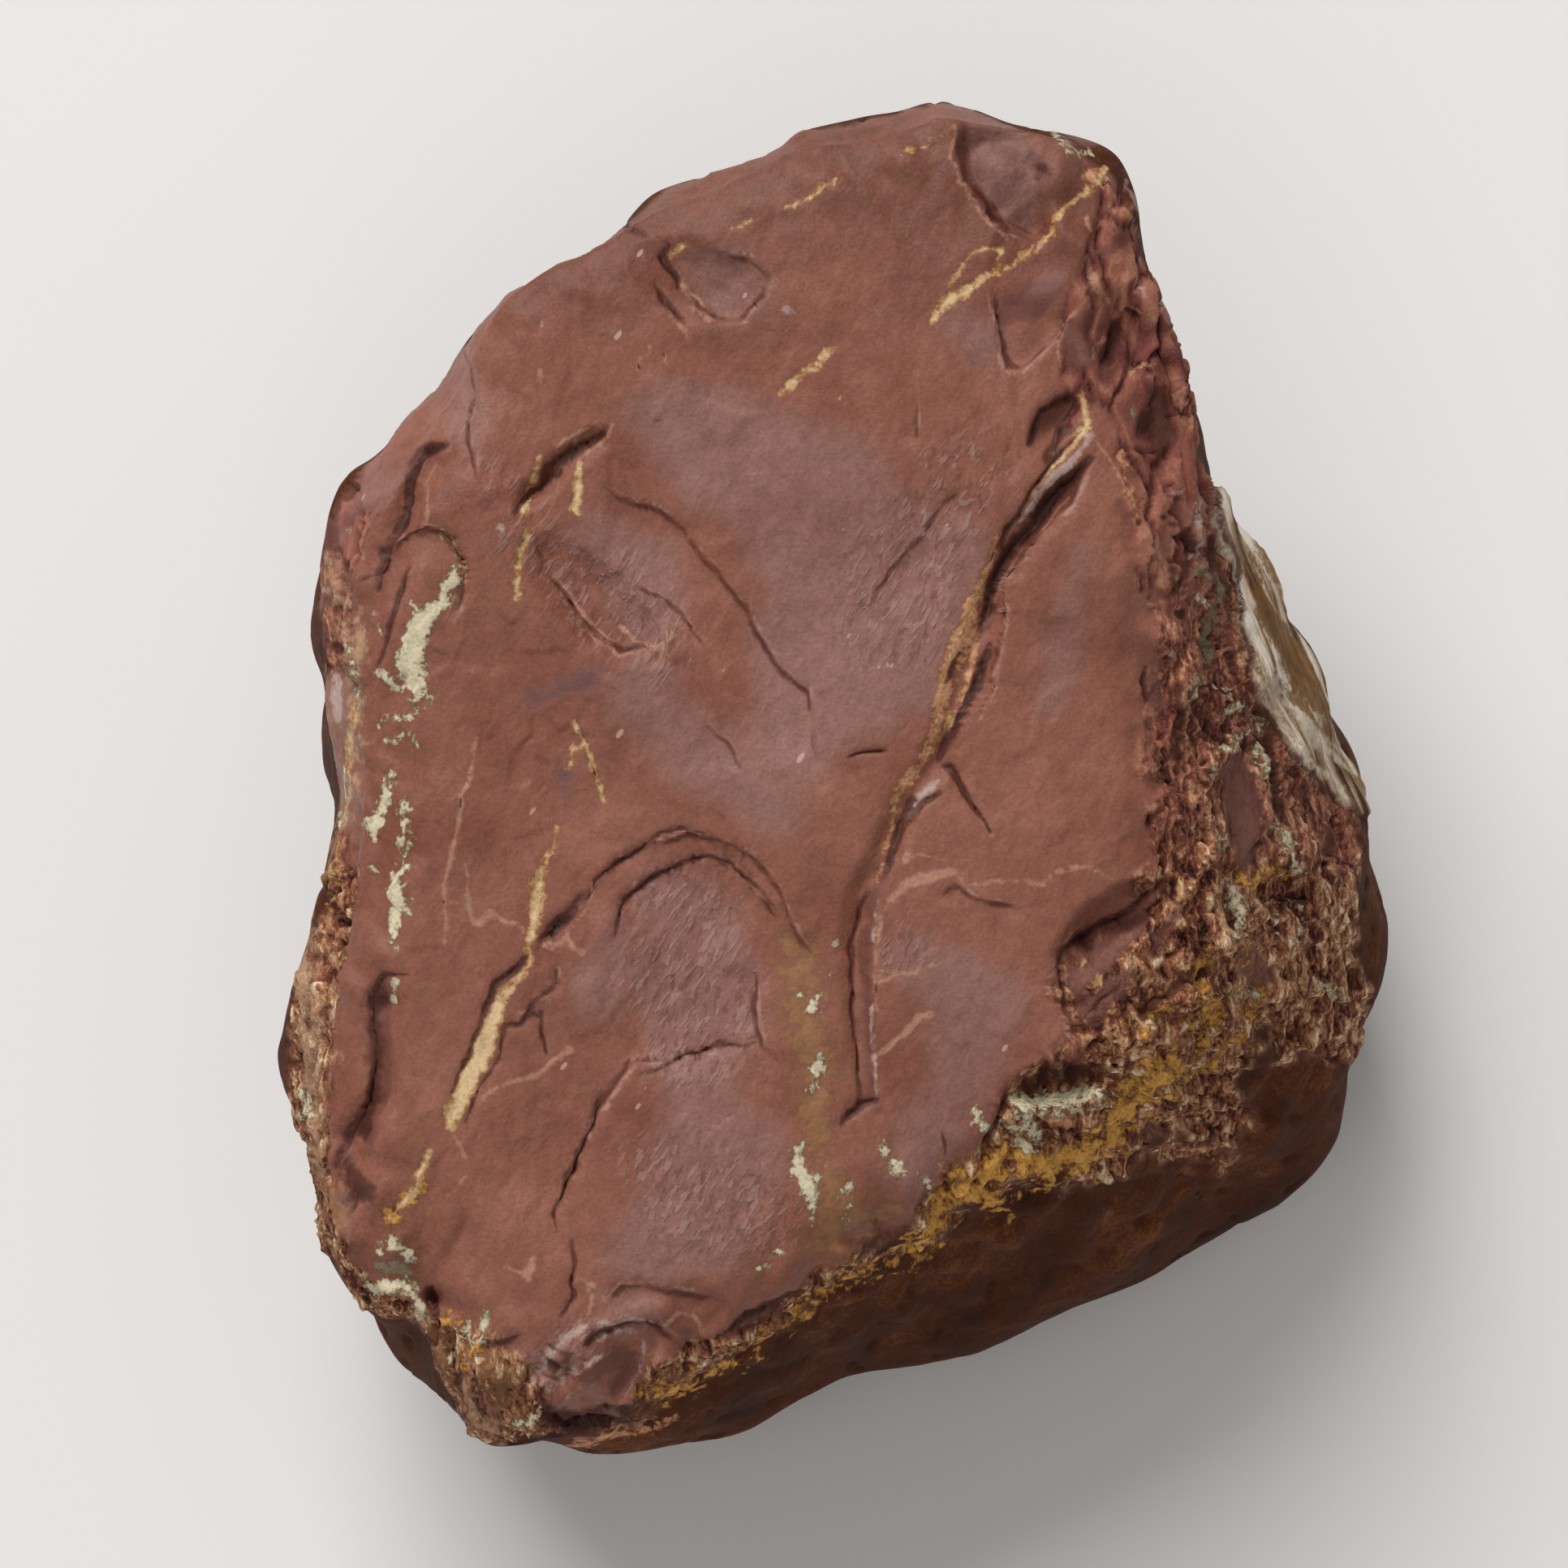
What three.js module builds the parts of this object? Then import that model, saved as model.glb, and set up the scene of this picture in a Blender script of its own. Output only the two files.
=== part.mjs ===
// Rough jasper: a hand-sized cobble of red-brown jasper, split open along one broad broken face.
// The stone is described face-on, in millimetres: X runs right and Y up along the broken face, Z stands out of
// it, and the origin is in the middle of the face. It then lies back on the small flat spot under it, with +Z up.
import * as THREE from "three";
import { mergeVertices } from "three/addons/utils/BufferGeometryUtils.js";

// Driving dimensions
const faceSlope = THREE.MathUtils.degToRad(15); // the broken face tips this far towards -Y as the stone lies
const faceHeight = 38; // from the floor up to the middle of the broken face
const footRadius = 9.5; // mean radius of the flat spot that the stone rests on
const footCentre = { x: 1.8, y: 4.2 }; // where the flat spot lies, seen from above, from the middle of the face
const flank = { reach: 0.96, rise: 0.6 }; // shares of the way from the flat spot out to the widest line, and up
const haunch = { reach: 0.76, rise: 0.25 }; // the same further down, where the sides turn in under the stone
const fineCells = 62; // mesh cells across the face and the sides

// Edge of the broken face, anticlockwise from the right: x, y
const rimPoints = [
  [22.2, -1.4], [21.3, 4.8], [21.3, 9.4], [21.7, 14.6], [21.2, 19.4], [20.4, 22.8], [19.3, 26.1], [18.1, 29.3],
  [16.4, 31.7], [13.9, 33.5], [10.6, 34.2], [7.7, 34.2], [3.9, 33.2], [0.8, 32.8], [-2.8, 31.0], [-6.9, 29.3],
  [-9.4, 27.8], [-13.2, 25.9], [-15.2, 23.8], [-16.6, 20.7], [-18.4, 18.0], [-20.2, 15.2], [-22.1, 11.9],
  [-22.5, 8.2], [-21.9, 4.0], [-21.7, 0.2], [-21.9, -3.9], [-22.5, -7.2], [-23.2, -10.6], [-23.6, -14.8],
  [-23.6, -18.9], [-23.4, -23.1], [-21.5, -25.6], [-18.2, -27.9], [-16.9, -31.0], [-14.2, -33.3], [-10.5, -33.5],
  [-7.3, -32.0], [-1.9, -28.7], [3.5, -25.0], [8.5, -22.0], [13.5, -20.0], [18.1, -16.8], [21.4, -12.7],
  [23.1, -7.7],
];
// Widest line round the stone, where its sides turn under: x, y, z
const bellyPoints = [
  [32.7, -3.7, -21], [31.9, -1.1, -20], [30.1, 2.4, -17], [27.9, 6.8, -14], [26.2, 10.2, -12], [24.9, 12.7, -10],
  [23.6, 15.0, -8], [22.4, 16.4, -6], [21.9, 18.4, -5], [21.1, 22.7, -5], [20.2, 25.6, -5], [19.2, 28.6, -5],
  [18.4, 31.1, -5], [17.1, 32.9, -5], [15.2, 34.2, -5], [11.6, 35.1, -5], [8.2, 35.3, -5], [5.7, 34.5, -5],
  [3.3, 34.0, -5], [0.8, 33.6, -4], [-0.3, 32.7, -4], [-4.5, 31.3, -5], [-7.0, 30.3, -5], [-8.8, 29.0, -5],
  [-11.7, 27.8, -5], [-14.2, 26.5, -5], [-16.2, 24.3, -5], [-17.1, 22.6, -5], [-17.8, 20.8, -6], [-19.2, 18.9, -6],
  [-20.6, 16.4, -6], [-22.4, 14.6, -7], [-23.8, 12.2, -7], [-24.6, 9.2, -7], [-24.0, 6.2, -8], [-23.9, 3.7, -8],
  [-23.1, -0.8, -8], [-23.3, -4.0, -8], [-24.1, -7.4, -8], [-25.4, -10.9, -9], [-26.0, -14.3, -10],
  [-25.7, -18.2, -10], [-24.6, -23.2, -8], [-23.2, -25.2, -7], [-21.0, -27.1, -6], [-18.8, -27.7, -5],
  [-18.1, -30.3, -6], [-17.0, -32.3, -7], [-15.2, -34.3, -8], [-13.1, -35.1, -9], [-10.6, -35.7, -11],
  [-6.4, -35.3, -16], [1.5, -33.7, -20], [10.4, -31.2, -22], [18.4, -27.4, -23], [25.6, -23.1, -24],
  [28.2, -20.7, -24], [30.5, -18.0, -24], [32.2, -14.4, -24], [33.3, -8.6, -23],
];
// How the face rolls over towards its edge, anticlockwise from the right: bearing in degrees, width, drop, and
// how deep the crumbled crust along it is
const shoulders = [
  [0, 6, 2.4, 1.3], [30, 6, 2.6, 1.3], [60, 5, 1.6, 1.0], [90, 3, 1.0, 0.4], [130, 3, 1.0, 0.3],
  [150, 4, 1.6, 0.9], [165, 4, 1.8, 0.8], [205, 5, 2.2, 0.6], [235, 5, 2.2, 1.0], [270, 4, 2.4, 1.0],
  [310, 4, 2.4, 1.2], [335, 5, 2.4, 1.3],
];

// Cracks and grooves across the face: path x, y; half width; depth
const grooves = [
  // the open main crack, from the upper right down to the middle of the lower edge
  { path: [[15.5, 19.7], [15.2, 17.5], [13.5, 15.6], [12.0, 13.0], [10.9, 10.5], [10.0, 8.2], [9.4, 5.7],
           [8.4, 3.4], [7.9, 1.3], [6.3, -1.0], [5.1, -3.4], [3.9, -5.8], [3.6, -8.3], [3.8, -11.4],
           [4.0, -13.9], [4.8, -16.6]], half: 1.2, depth: 1.5 },
  // its short branch to the right
  { path: [[8.1, 1.1], [9.5, -1.0], [10.7, -3.1]], half: 0.7, depth: 0.6 },
  // dark groove down the lower left edge
  { path: [[-20.3, -9.8], [-20.6, -13.0], [-21.0, -16.0], [-22.3, -18.9], [-22.9, -21.0]], half: 1.2, depth: 1.6 },
  // dark groove down the upper left edge
  { path: [[-17.6, 17.3], [-18.9, 15.2], [-20.1, 13.1], [-20.6, 11.0]], half: 1.0, depth: 1.3 },
  // slanting notch at the upper left
  { path: [[-13.6, 14.3], [-11.4, 16.4], [-9.0, 18.2]], half: 0.8, depth: 1.2 },
];
// Steps where a flake came away: path x, y; drop; reach. The face right of the path lies lower by the drop and
// climbs back over the reach, or the face left of it where the drop is negative.
const ledges = [
  // arc of the round scar in the lower middle
  { path: [[-13.6, -8.9], [-11.9, -7.3], [-9.4, -5.0], [-6.9, -3.1], [-4.4, -2.7], [-2.1, -3.5], [-0.5, -5.4],
           [0.4, -7.7]], drop: 0.9, reach: 13 },
  // long edge that runs down from the notch to the middle
  { path: [[1.4, 4.4], [-0.3, 6.9], [-2.1, 9.4], [-4.4, 12.3], [-7.8, 14.4], [-11.1, 15.3]],
    drop: -0.9, reach: 11 },
  // crescent at the top
  { path: [[8.9, 34.0], [9.3, 31.3], [10.8, 29.2], [12.7, 28.1], [14.3, 28.6]], drop: -1.3, reach: 6 },
  // left edge of the smooth facet beyond the main crack
  { path: [[15.8, 17.5], [11.4, 11.1], [11.2, 8.6], [10.2, 4.4], [8.1, 1.5]], drop: 0.5, reach: 3 },
  // lower step of the round scar
  { path: [[-1.9, -13.1], [-4.8, -13.9], [-7.8, -14.3], [-9.6, -16.8], [-11.1, -20.2], [-11.5, -22.7]],
    drop: 0.5, reach: 8 },
];
// Scooped hollows: centre x, y; half length; half width; turn in degrees; depth
const scoops = [
  { at: [17.0, -7.2], long: 3.6, wide: 1.7, turn: 38, depth: 1.5 }, // ledge at the lower right
  { at: [14.1, -15.4], long: 3.2, wide: 1.1, turn: 10, depth: 2.2 }, // cavity on the lower rim
  { at: [17.2, 23.4], long: 2.7, wide: 1.8, turn: 100, depth: 1.4 }, // upper chip on the right edge
  { at: [19.6, 18.3], long: 2.4, wide: 1.5, turn: 80, depth: 1.3 }, // lower chip on the right edge
  { at: [14.0, 18.6], long: 1.9, wide: 1.0, turn: 50, depth: 1.1 }, // hollow above the main crack
  { at: [-7.4, -30.2], long: 4.2, wide: 2.2, turn: 20, depth: 1.5 }, // scoop over the lower edge
  { at: [-10.4, -32.6], long: 2.2, wide: 1.2, turn: 20, depth: 2.0 }, // hole at the lower corner
  { at: [-4.5, 25.8], long: 3.6, wide: 2.2, turn: -20, depth: 0.8 }, // shallow oval near the top left
  { at: [-9.8, 9.3], long: 5.0, wide: 2.0, turn: -42, depth: 0.7 }, // long flake scar in the upper left
  { at: [-4.6, -9.6], long: 5.0, wide: 5.6, turn: 0, depth: 0.8 }, // floor of the round scar
];

const gatherReach = 1.4; // points of the mesh nearer than this to a crack or a step are drawn in towards it
const crumbWave = 0.8; // waves of the crumbled crust, radians a millimetre

// A closed smooth curve through hand-set points, as a function of the bearing about the middle of the face.
function ring(points) {
  const corners = points.map(([x, y, z = 0]) => new THREE.Vector3(x, y, z));
  const steps = points.length * 12;
  const curve = new THREE.CatmullRomCurve3(corners, true, "centripetal").getPoints(steps);
  const around = curve.map(({ x, y, z }) => ({ bearing: wrap(Math.atan2(y, x)), radius: Math.hypot(x, y), z }));
  return table(around, ["radius", "z"]);
}

// Linear look-up of named values, by bearing, in a list that goes once round the circle.
function table(list, names) {
  const sorted = [...list].sort((a, b) => a.bearing - b.bearing);
  return (bearing) => {
    const sought = wrap(bearing);
    const next = Math.max(0, sorted.findIndex((p) => p.bearing > sought));
    const to = sorted[next];
    const from = sorted[(next + sorted.length - 1) % sorted.length];
    const t = wrap(sought - from.bearing) / wrap(to.bearing - from.bearing);
    return Object.fromEntries(names.map((name) => [name, THREE.MathUtils.lerp(from[name], to[name], t)]));
  };
}

// An angle brought into one turn.
function wrap(angle) {
  return THREE.MathUtils.euclideanModulo(angle, 2 * Math.PI);
}

// Distance from x, y to a path, positive on its left, the same as an offset, and the share of the path's length at
// the nearest point.
function alongPath(path, x, y) {
  let best = { away: Infinity };
  let passed = 0;
  for (let i = 0; i + 1 < path.length; i++) {
    const [ax, ay] = path[i];
    const [dx, dy] = [path[i + 1][0] - ax, path[i + 1][1] - ay];
    const length = Math.hypot(dx, dy);
    const t = THREE.MathUtils.clamp(((x - ax) * dx + (y - ay) * dy) / length ** 2, 0, 1);
    const [ox, oy] = [x - ax - t * dx, y - ay - t * dy];
    const away = Math.hypot(ox, oy);
    if (away < Math.abs(best.away)) {
      best = { away: away * Math.sign(dx * oy - dy * ox || 1), offset: [ox, oy], reached: passed + t * length };
    }
    passed += length;
  }
  return { away: best.away, offset: best.offset, share: best.reached / passed };
}

const smooth = THREE.MathUtils.smoothstep;
const fadeEnds = (share) => smooth(share, 0, 0.15) * (1 - smooth(share, 0.85, 1));

function grooveDepth({ path, half, depth }, x, y) {
  const { away, share } = alongPath(path, x, y);
  return -depth * fadeEnds(share) * Math.max(0, 1 - Math.abs(away) / half);
}

function ledgeDrop({ path, drop, reach }, x, y) {
  const { away, share } = alongPath(path, x, y);
  const below = drop > 0 ? -away : away;
  const climb = smooth(below, -0.4, 0.5) * (1 - smooth(below, 0, reach));
  return -Math.abs(drop) * fadeEnds(share) * climb;
}

function scoopDepth({ at, long, wide, turn, depth }, x, y) {
  const angle = THREE.MathUtils.degToRad(turn);
  const [dx, dy] = [x - at[0], y - at[1]];
  const along = (dx * Math.cos(angle) + dy * Math.sin(angle)) / long;
  const across = (dy * Math.cos(angle) - dx * Math.sin(angle)) / wide;
  return -depth * Math.max(0, 1 - along ** 2 - across ** 2);
}

// Depth of every crack, step and hollow at one place on the face.
function relief(x, y) {
  const sum = (list, depthOf) => list.reduce((total, feature) => total + depthOf(feature, x, y), 0);
  return sum(grooves, grooveDepth) + sum(ledges, ledgeDrop) + sum(scoops, scoopDepth);
}

// Draws a place on the face in towards each crack and step beside it, so that they come out as clean lines.
function gathered(x, y) {
  let place = [x, y];
  for (const { path } of [...grooves, ...ledges]) {
    const { away, offset, share } = alongPath(path, ...place);
    const drawn = fadeEnds(share) * Math.max(0, 1 - (Math.abs(away) / gatherReach) ** 1.5);
    place = [place[0] - offset[0] * drawn, place[1] - offset[1] * drawn];
  }
  return place;
}

// Height of the crumbled crust, from -1 in its pits to 0 on its crumbs.
function crumbs({ x, y, z }) {
  const [u, v] = [crumbWave * (x + 0.4 * y + 0.5 * z), crumbWave * (y - 0.5 * x + 0.6 * z)];
  return Math.sin(u + Math.sin(0.7 * v)) ** 2 * Math.abs(Math.sin(0.8 * v + Math.cos(0.6 * u))) - 1;
}

// Broad, low waves in the stone's skin.
function lumps(x, y, z) {
  return Math.sin(0.21 * x + 0.13 * y + 0.9) * Math.cos(0.17 * y - 0.19 * z + 0.4)
    + 0.6 * Math.sin(0.43 * y + 0.31 * z + 2.1) * Math.cos(0.39 * x - 0.27 * z);
}

const rimAt = ring(rimPoints);
const bellyAt = ring(bellyPoints);
const shoulderAt = table(
  shoulders.map(([angle, width, drop, wear]) => ({ bearing: THREE.MathUtils.degToRad(angle), width, drop, wear })),
  ["width", "drop", "wear"],
);

// The widest line with its bays and bumps evened out over a sixth of a turn, for the lower part of the sides.
const evenBellyAt = table(
  Array.from({ length: 72 }, (_, k) => {
    const bearing = (k * Math.PI) / 36;
    const near = [-5, -4, -3, -2, -1, 0, 1, 2, 3, 4, 5].map((step) => bellyAt(bearing + (step * Math.PI) / 60));
    const mean = (name) => near.reduce((total, p) => total + p[name], 0) / near.length;
    return { bearing, radius: mean("radius"), z: mean("z") };
  }),
  ["radius", "z"],
);

// Height of the broken face: nearly flat, rolling over near its edge, with the relief cut into it.
function faceZ(x, y) {
  const bearing = Math.atan2(y, x);
  const { width, drop } = shoulderAt(bearing);
  const fromEdge = THREE.MathUtils.clamp(rimAt(bearing).radius - Math.hypot(x, y), 0, width);
  const roll = drop * (1 - fromEdge / width) ** 2;
  return 0.35 * lumps(x, y, 0) - roll + relief(x, y);
}

const acrossX = new THREE.Vector3(1, 0, 0);

// From face-on coordinates to the lying stone, above the floor.
function laid(x, y, z) {
  return new THREE.Vector3(x, y, z).applyAxisAngle(acrossX, faceSlope).add(new THREE.Vector3(0, 0, faceHeight));
}

// The five stations that one bearing's side passes through, from the edge of the face down to the flat spot.
function stations(bearing) {
  const [c, s] = [Math.cos(bearing), Math.sin(bearing)];
  const rim = rimAt(bearing).radius;
  const belly = bellyAt(bearing);
  const evenBelly = evenBellyAt(bearing);
  const foot = footRadius * (1 + 0.14 * Math.sin(2 * bearing + 0.6) + 0.08 * Math.sin(3 * bearing + 2));
  const edge = laid(rim * c, rim * s, faceZ(rim * c, rim * s));
  const widest = laid(belly.radius * c, belly.radius * s, belly.z);
  const evenWidest = laid(evenBelly.radius * c, evenBelly.radius * s, evenBelly.z);
  const footEdge = new THREE.Vector3(footCentre.x + foot * c, footCentre.y + foot * s, 0);
  const unevenness = 0.05 * Math.sin(2 * bearing + 1.1) + 0.04 * Math.sin(5 * bearing + 0.3);
  const between = ({ reach, rise }) => {
    const share = new THREE.Vector3(reach + unevenness, reach + unevenness, rise);
    return evenWidest.clone().sub(footEdge).multiply(share).add(footEdge);
  };
  return [edge, widest, between(flank), between(haunch), footEdge];
}

// Crumbles the skin near the edge of the face: upwards on the face, outwards on the side.
function crumbled(point, bearing, depth) {
  const near = smooth(depth, 0.78, 0.95) * (1 - smooth(depth, 1.2, 2));
  const out = smooth(depth, 0.9, 1.3);
  const way = new THREE.Vector3(out * Math.cos(bearing), out * Math.sin(bearing), 1 - out);
  return point.addScaledVector(way, near * shoulderAt(bearing).wear * crumbs(point));
}

// One point of the skin. Depth runs 0 at the middle of the face, 1 at its edge, 2 at the widest line, 3 at the
// flank, 4 at the haunch, 5 at the edge of the flat spot and 6 at its middle.
function skin(bearing, depth) {
  if (depth <= 1) {
    const radius = depth * rimAt(bearing).radius;
    const [x, y] = [radius * Math.cos(bearing), radius * Math.sin(bearing)];
    const [drawnX, drawnY] = depth < 0.97 ? gathered(x, y) : [x, y];
    return crumbled(laid(drawnX, drawnY, faceZ(drawnX, drawnY)), bearing, depth);
  }
  const side = stations(bearing);
  if (depth >= 5) return side.at(-1).lerp(new THREE.Vector3(footCentre.x, footCentre.y, 0), depth - 5);
  const point = new THREE.CatmullRomCurve3(side, false, "centripetal").getPoint((depth - 1) / 4);
  const away = point.clone().sub(new THREE.Vector3(0, 0, faceHeight / 2)).normalize();
  const push = lumps(point.x, point.y, point.z) * smooth(depth, 1, 2) * (1 - smooth(depth, 4, 5));
  crumbled(point.addScaledVector(away, push), bearing, depth);
  point.z = Math.max(point.z, 0);
  return point;
}

// A square grid pressed into a disc, so that the skin has no crowded pole: bearing and share of the radius.
function disc(a, b) {
  if (a === 0 && b === 0) return { bearing: 0, share: 0 };
  const wide = Math.abs(a) >= Math.abs(b);
  const share = wide ? a : b;
  const bearing = wide ? (Math.PI / 4) * (b / a) : Math.PI / 2 - (Math.PI / 4) * (a / b);
  return { bearing: share < 0 ? bearing + Math.PI : bearing, share: Math.abs(share) };
}

// Where the stations fall on the two sheets, as shares of the disc's radius.
const upperSheet = [[0, 0], [0.74, 1], [0.91, 2], [1, 3]];
const underSheet = [[0, 6], [0.36, 5], [0.72, 4], [1, 3]];

function depthAt(sheet, share) {
  const next = Math.max(1, sheet.findIndex(([end]) => end >= share));
  const [[fromShare, fromDepth], [toShare, toDepth]] = [sheet[next - 1], sheet[next]];
  return fromDepth + ((share - fromShare) / (toShare - fromShare)) * (toDepth - fromDepth);
}

// The triangles of one sheet. The underside's faces are turned round so that they too point out.
function sheetTriangles(cells, sheet, turned) {
  const corner = (i, j) => {
    const { bearing, share } = disc((2 * i) / cells - 1, (2 * j) / cells - 1);
    return skin(bearing, depthAt(sheet, share));
  };
  const points = Array.from({ length: cells + 1 }, (_, i) =>
    Array.from({ length: cells + 1 }, (_, j) => corner(i, j)));
  const triangles = [];
  for (let i = 0; i < cells; i++) {
    for (let j = 0; j < cells; j++) {
      const [a, b, c, d] = [points[i][j], points[i + 1][j], points[i + 1][j + 1], points[i][j + 1]];
      const shortAC = a.distanceTo(c) < b.distanceTo(d);
      const pair = shortAC ? [[a, b, c], [a, c, d]] : [[a, b, d], [b, c, d]];
      triangles.push(...pair.map(([p, q, r]) => (turned ? [p, r, q] : [p, q, r])));
    }
  }
  return { points, triangles };
}

// The points round the edge of a sheet, anticlockwise.
function border(points) {
  const last = points.length - 1;
  const steps = Array.from({ length: last }, (_, k) => k);
  return [
    ...steps.map((k) => points[k][0]),
    ...steps.map((k) => points[last][k]),
    ...steps.map((k) => points[last - k][last]),
    ...steps.map((k) => points[0][last - k]),
  ];
}

function jasper() {
  const upper = sheetTriangles(fineCells, upperSheet, false);
  const under = sheetTriangles(fineCells / 2, underSheet, true);
  // The underside's cells are twice as wide, so a thin triangle closes each step between the two edges.
  const fineEdge = border(upper.points);
  const seam = fineEdge.flatMap((point, k) =>
    k % 2 ? [[fineEdge[k - 1], fineEdge[(k + 1) % fineEdge.length], point]] : []);
  const corners = [...upper.triangles, ...under.triangles, ...seam].flat();
  const loose = new THREE.BufferGeometry().setFromPoints(corners);
  const geometry = mergeVertices(loose, 1e-4);
  geometry.computeBoundingBox();
  const { min, max } = geometry.boundingBox;
  geometry.translate(-(min.x + max.x) / 2, -(min.y + max.y) / 2, -min.z);
  geometry.computeVertexNormals();
  const redBrown = new THREE.MeshStandardMaterial({ color: 0x7d4f42, roughness: 0.5, metalness: 0 });
  const mesh = new THREE.Mesh(geometry, redBrown);
  mesh.name = "jasper";
  return mesh;
}

const specimen = new THREE.Group();
specimen.add(jasper());
export default specimen;
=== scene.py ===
import math
import bpy
import numpy as np
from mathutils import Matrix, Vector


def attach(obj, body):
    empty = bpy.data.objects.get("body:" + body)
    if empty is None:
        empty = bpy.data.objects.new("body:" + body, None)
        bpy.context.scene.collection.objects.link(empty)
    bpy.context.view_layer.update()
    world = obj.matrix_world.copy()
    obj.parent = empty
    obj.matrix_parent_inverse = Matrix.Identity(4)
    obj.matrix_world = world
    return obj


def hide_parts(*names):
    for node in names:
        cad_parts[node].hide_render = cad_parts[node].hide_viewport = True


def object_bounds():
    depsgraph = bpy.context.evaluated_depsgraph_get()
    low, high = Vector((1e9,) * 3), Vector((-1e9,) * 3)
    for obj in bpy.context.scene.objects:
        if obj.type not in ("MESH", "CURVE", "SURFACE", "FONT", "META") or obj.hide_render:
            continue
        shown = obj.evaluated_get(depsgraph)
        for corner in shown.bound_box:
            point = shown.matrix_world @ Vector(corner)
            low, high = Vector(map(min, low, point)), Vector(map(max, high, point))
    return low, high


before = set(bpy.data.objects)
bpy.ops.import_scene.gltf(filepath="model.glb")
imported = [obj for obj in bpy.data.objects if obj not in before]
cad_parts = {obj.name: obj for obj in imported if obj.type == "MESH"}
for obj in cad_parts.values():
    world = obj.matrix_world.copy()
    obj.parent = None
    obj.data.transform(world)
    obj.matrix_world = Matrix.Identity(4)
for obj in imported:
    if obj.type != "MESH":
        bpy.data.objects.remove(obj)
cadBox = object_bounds()
print("frame loaded, box", [round(c * 1000, 1) for corner in cadBox for c in corner], "mm")

# Rough jasper: a hand-sized cobble, split open along one broad broken face and lying back on its flat spot.
# Places are millimetres face-on: X to the right and Y up along the broken face, Z out of it, from its middle.

# ---- form of the stone
stoneForm = {
    "faceSlope": math.radians(15),  # the broken face tips this far towards -Y as the stone lies
    "faceHeight": 38.0,  # from the floor up to the middle of the broken face
    "footRadius": 9.5,  # mean radius of the flat spot
    "footCentre": (1.8, 4.2),  # where the flat spot lies, from above
    "flank": (0.96, 0.6),  # shares of the way from the flat spot out to the widest line, and up
    "haunch": (0.76, 0.25),  # the same further down
    "faceCells": 304,  # grid cells across the face and the sides
    "footCells": 76,  # and across the underside: a quarter of faceCells
    "viewReach": 350.0,  # marks are laid on the stone as from a point this far over its face
}
# Edge of the broken face, anticlockwise from the right: x, y
rimPoints = [
    (22.2, -1.4), (21.3, 4.8), (21.3, 9.4), (21.7, 14.6), (21.2, 19.4), (20.4, 22.8), (19.3, 26.1),
    (18.1, 29.3), (16.4, 31.7), (13.9, 33.5), (10.6, 34.2), (7.7, 34.2), (3.9, 33.2), (0.8, 32.8),
    (-2.8, 31.0), (-6.9, 29.3), (-9.4, 27.8), (-13.2, 25.9), (-15.2, 23.8), (-16.6, 20.7), (-18.4, 18.0),
    (-20.2, 15.2), (-22.1, 11.9), (-22.5, 8.2), (-21.9, 4.0), (-21.7, 0.2), (-21.9, -3.9), (-22.5, -7.2),
    (-23.2, -10.6), (-23.6, -14.8), (-23.6, -18.9), (-23.4, -23.1), (-21.5, -25.6), (-18.2, -27.9),
    (-16.9, -31.0), (-14.2, -33.3), (-10.5, -33.5), (-7.3, -32.0), (-1.9, -28.7), (3.5, -25.0),
    (8.5, -22.0), (13.5, -20.0), (18.1, -16.8), (21.4, -12.7), (23.1, -7.7),
]
# Widest line round the stone: x, y, z
bellyPoints = [
    (32.7, -3.7, -21), (31.9, -1.1, -20), (30.1, 2.4, -17), (27.9, 6.8, -14), (26.2, 10.2, -12),
    (24.9, 12.7, -10), (23.6, 15.0, -8), (22.4, 16.4, -6), (21.9, 18.4, -5), (21.1, 22.7, -5),
    (20.2, 25.6, -5), (19.2, 28.6, -5), (18.4, 31.1, -5), (17.1, 32.9, -5), (15.2, 34.2, -5),
    (11.6, 35.1, -5), (8.2, 35.3, -5), (5.7, 34.5, -5), (3.3, 34.0, -5), (0.8, 33.6, -4),
    (-0.3, 32.7, -4), (-4.5, 31.3, -5), (-7.0, 30.3, -5), (-8.8, 29.0, -5), (-11.7, 27.8, -5),
    (-14.2, 26.5, -5), (-16.2, 24.3, -5), (-17.1, 22.6, -5), (-17.8, 20.8, -6), (-19.2, 18.9, -6),
    (-20.6, 16.4, -6), (-22.4, 14.6, -7), (-23.8, 12.2, -7), (-24.6, 9.2, -7), (-24.0, 6.2, -8),
    (-23.9, 3.7, -8), (-23.1, -0.8, -8), (-23.3, -4.0, -8), (-24.1, -7.4, -8), (-25.4, -10.9, -9),
    (-26.0, -14.3, -10), (-25.7, -18.2, -10), (-24.6, -23.2, -8), (-23.2, -25.2, -7), (-21.0, -27.1, -6),
    (-18.8, -27.7, -5), (-18.1, -30.3, -6), (-17.0, -32.3, -7), (-15.2, -34.3, -8), (-13.1, -35.1, -9),
    (-10.6, -35.7, -11), (-6.4, -35.3, -16), (1.5, -33.7, -20), (10.4, -31.2, -22), (18.4, -27.4, -23),
    (25.6, -23.1, -24), (28.2, -20.7, -24), (30.5, -18.0, -24), (32.2, -14.4, -24), (33.3, -8.6, -23),
]
# Roll-over along the edge of the face: bearing in degrees, width, drop, depth of its crumbled crust
shoulders = np.array([
    (0, 6, 2.4, 1.2), (30, 6, 2.6, 1.2), (60, 5, 1.6, 0.8), (90, 3, 1.0, 0.25), (130, 3, 1.0, 0.2),
    (150, 4, 1.6, 0.5), (165, 4, 1.8, 0.6), (205, 5, 2.2, 0.6), (235, 5, 2.2, 0.9), (270, 4, 2.4, 0.9),
    (310, 4, 2.4, 1.1), (335, 5, 2.4, 1.2),
])


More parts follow.
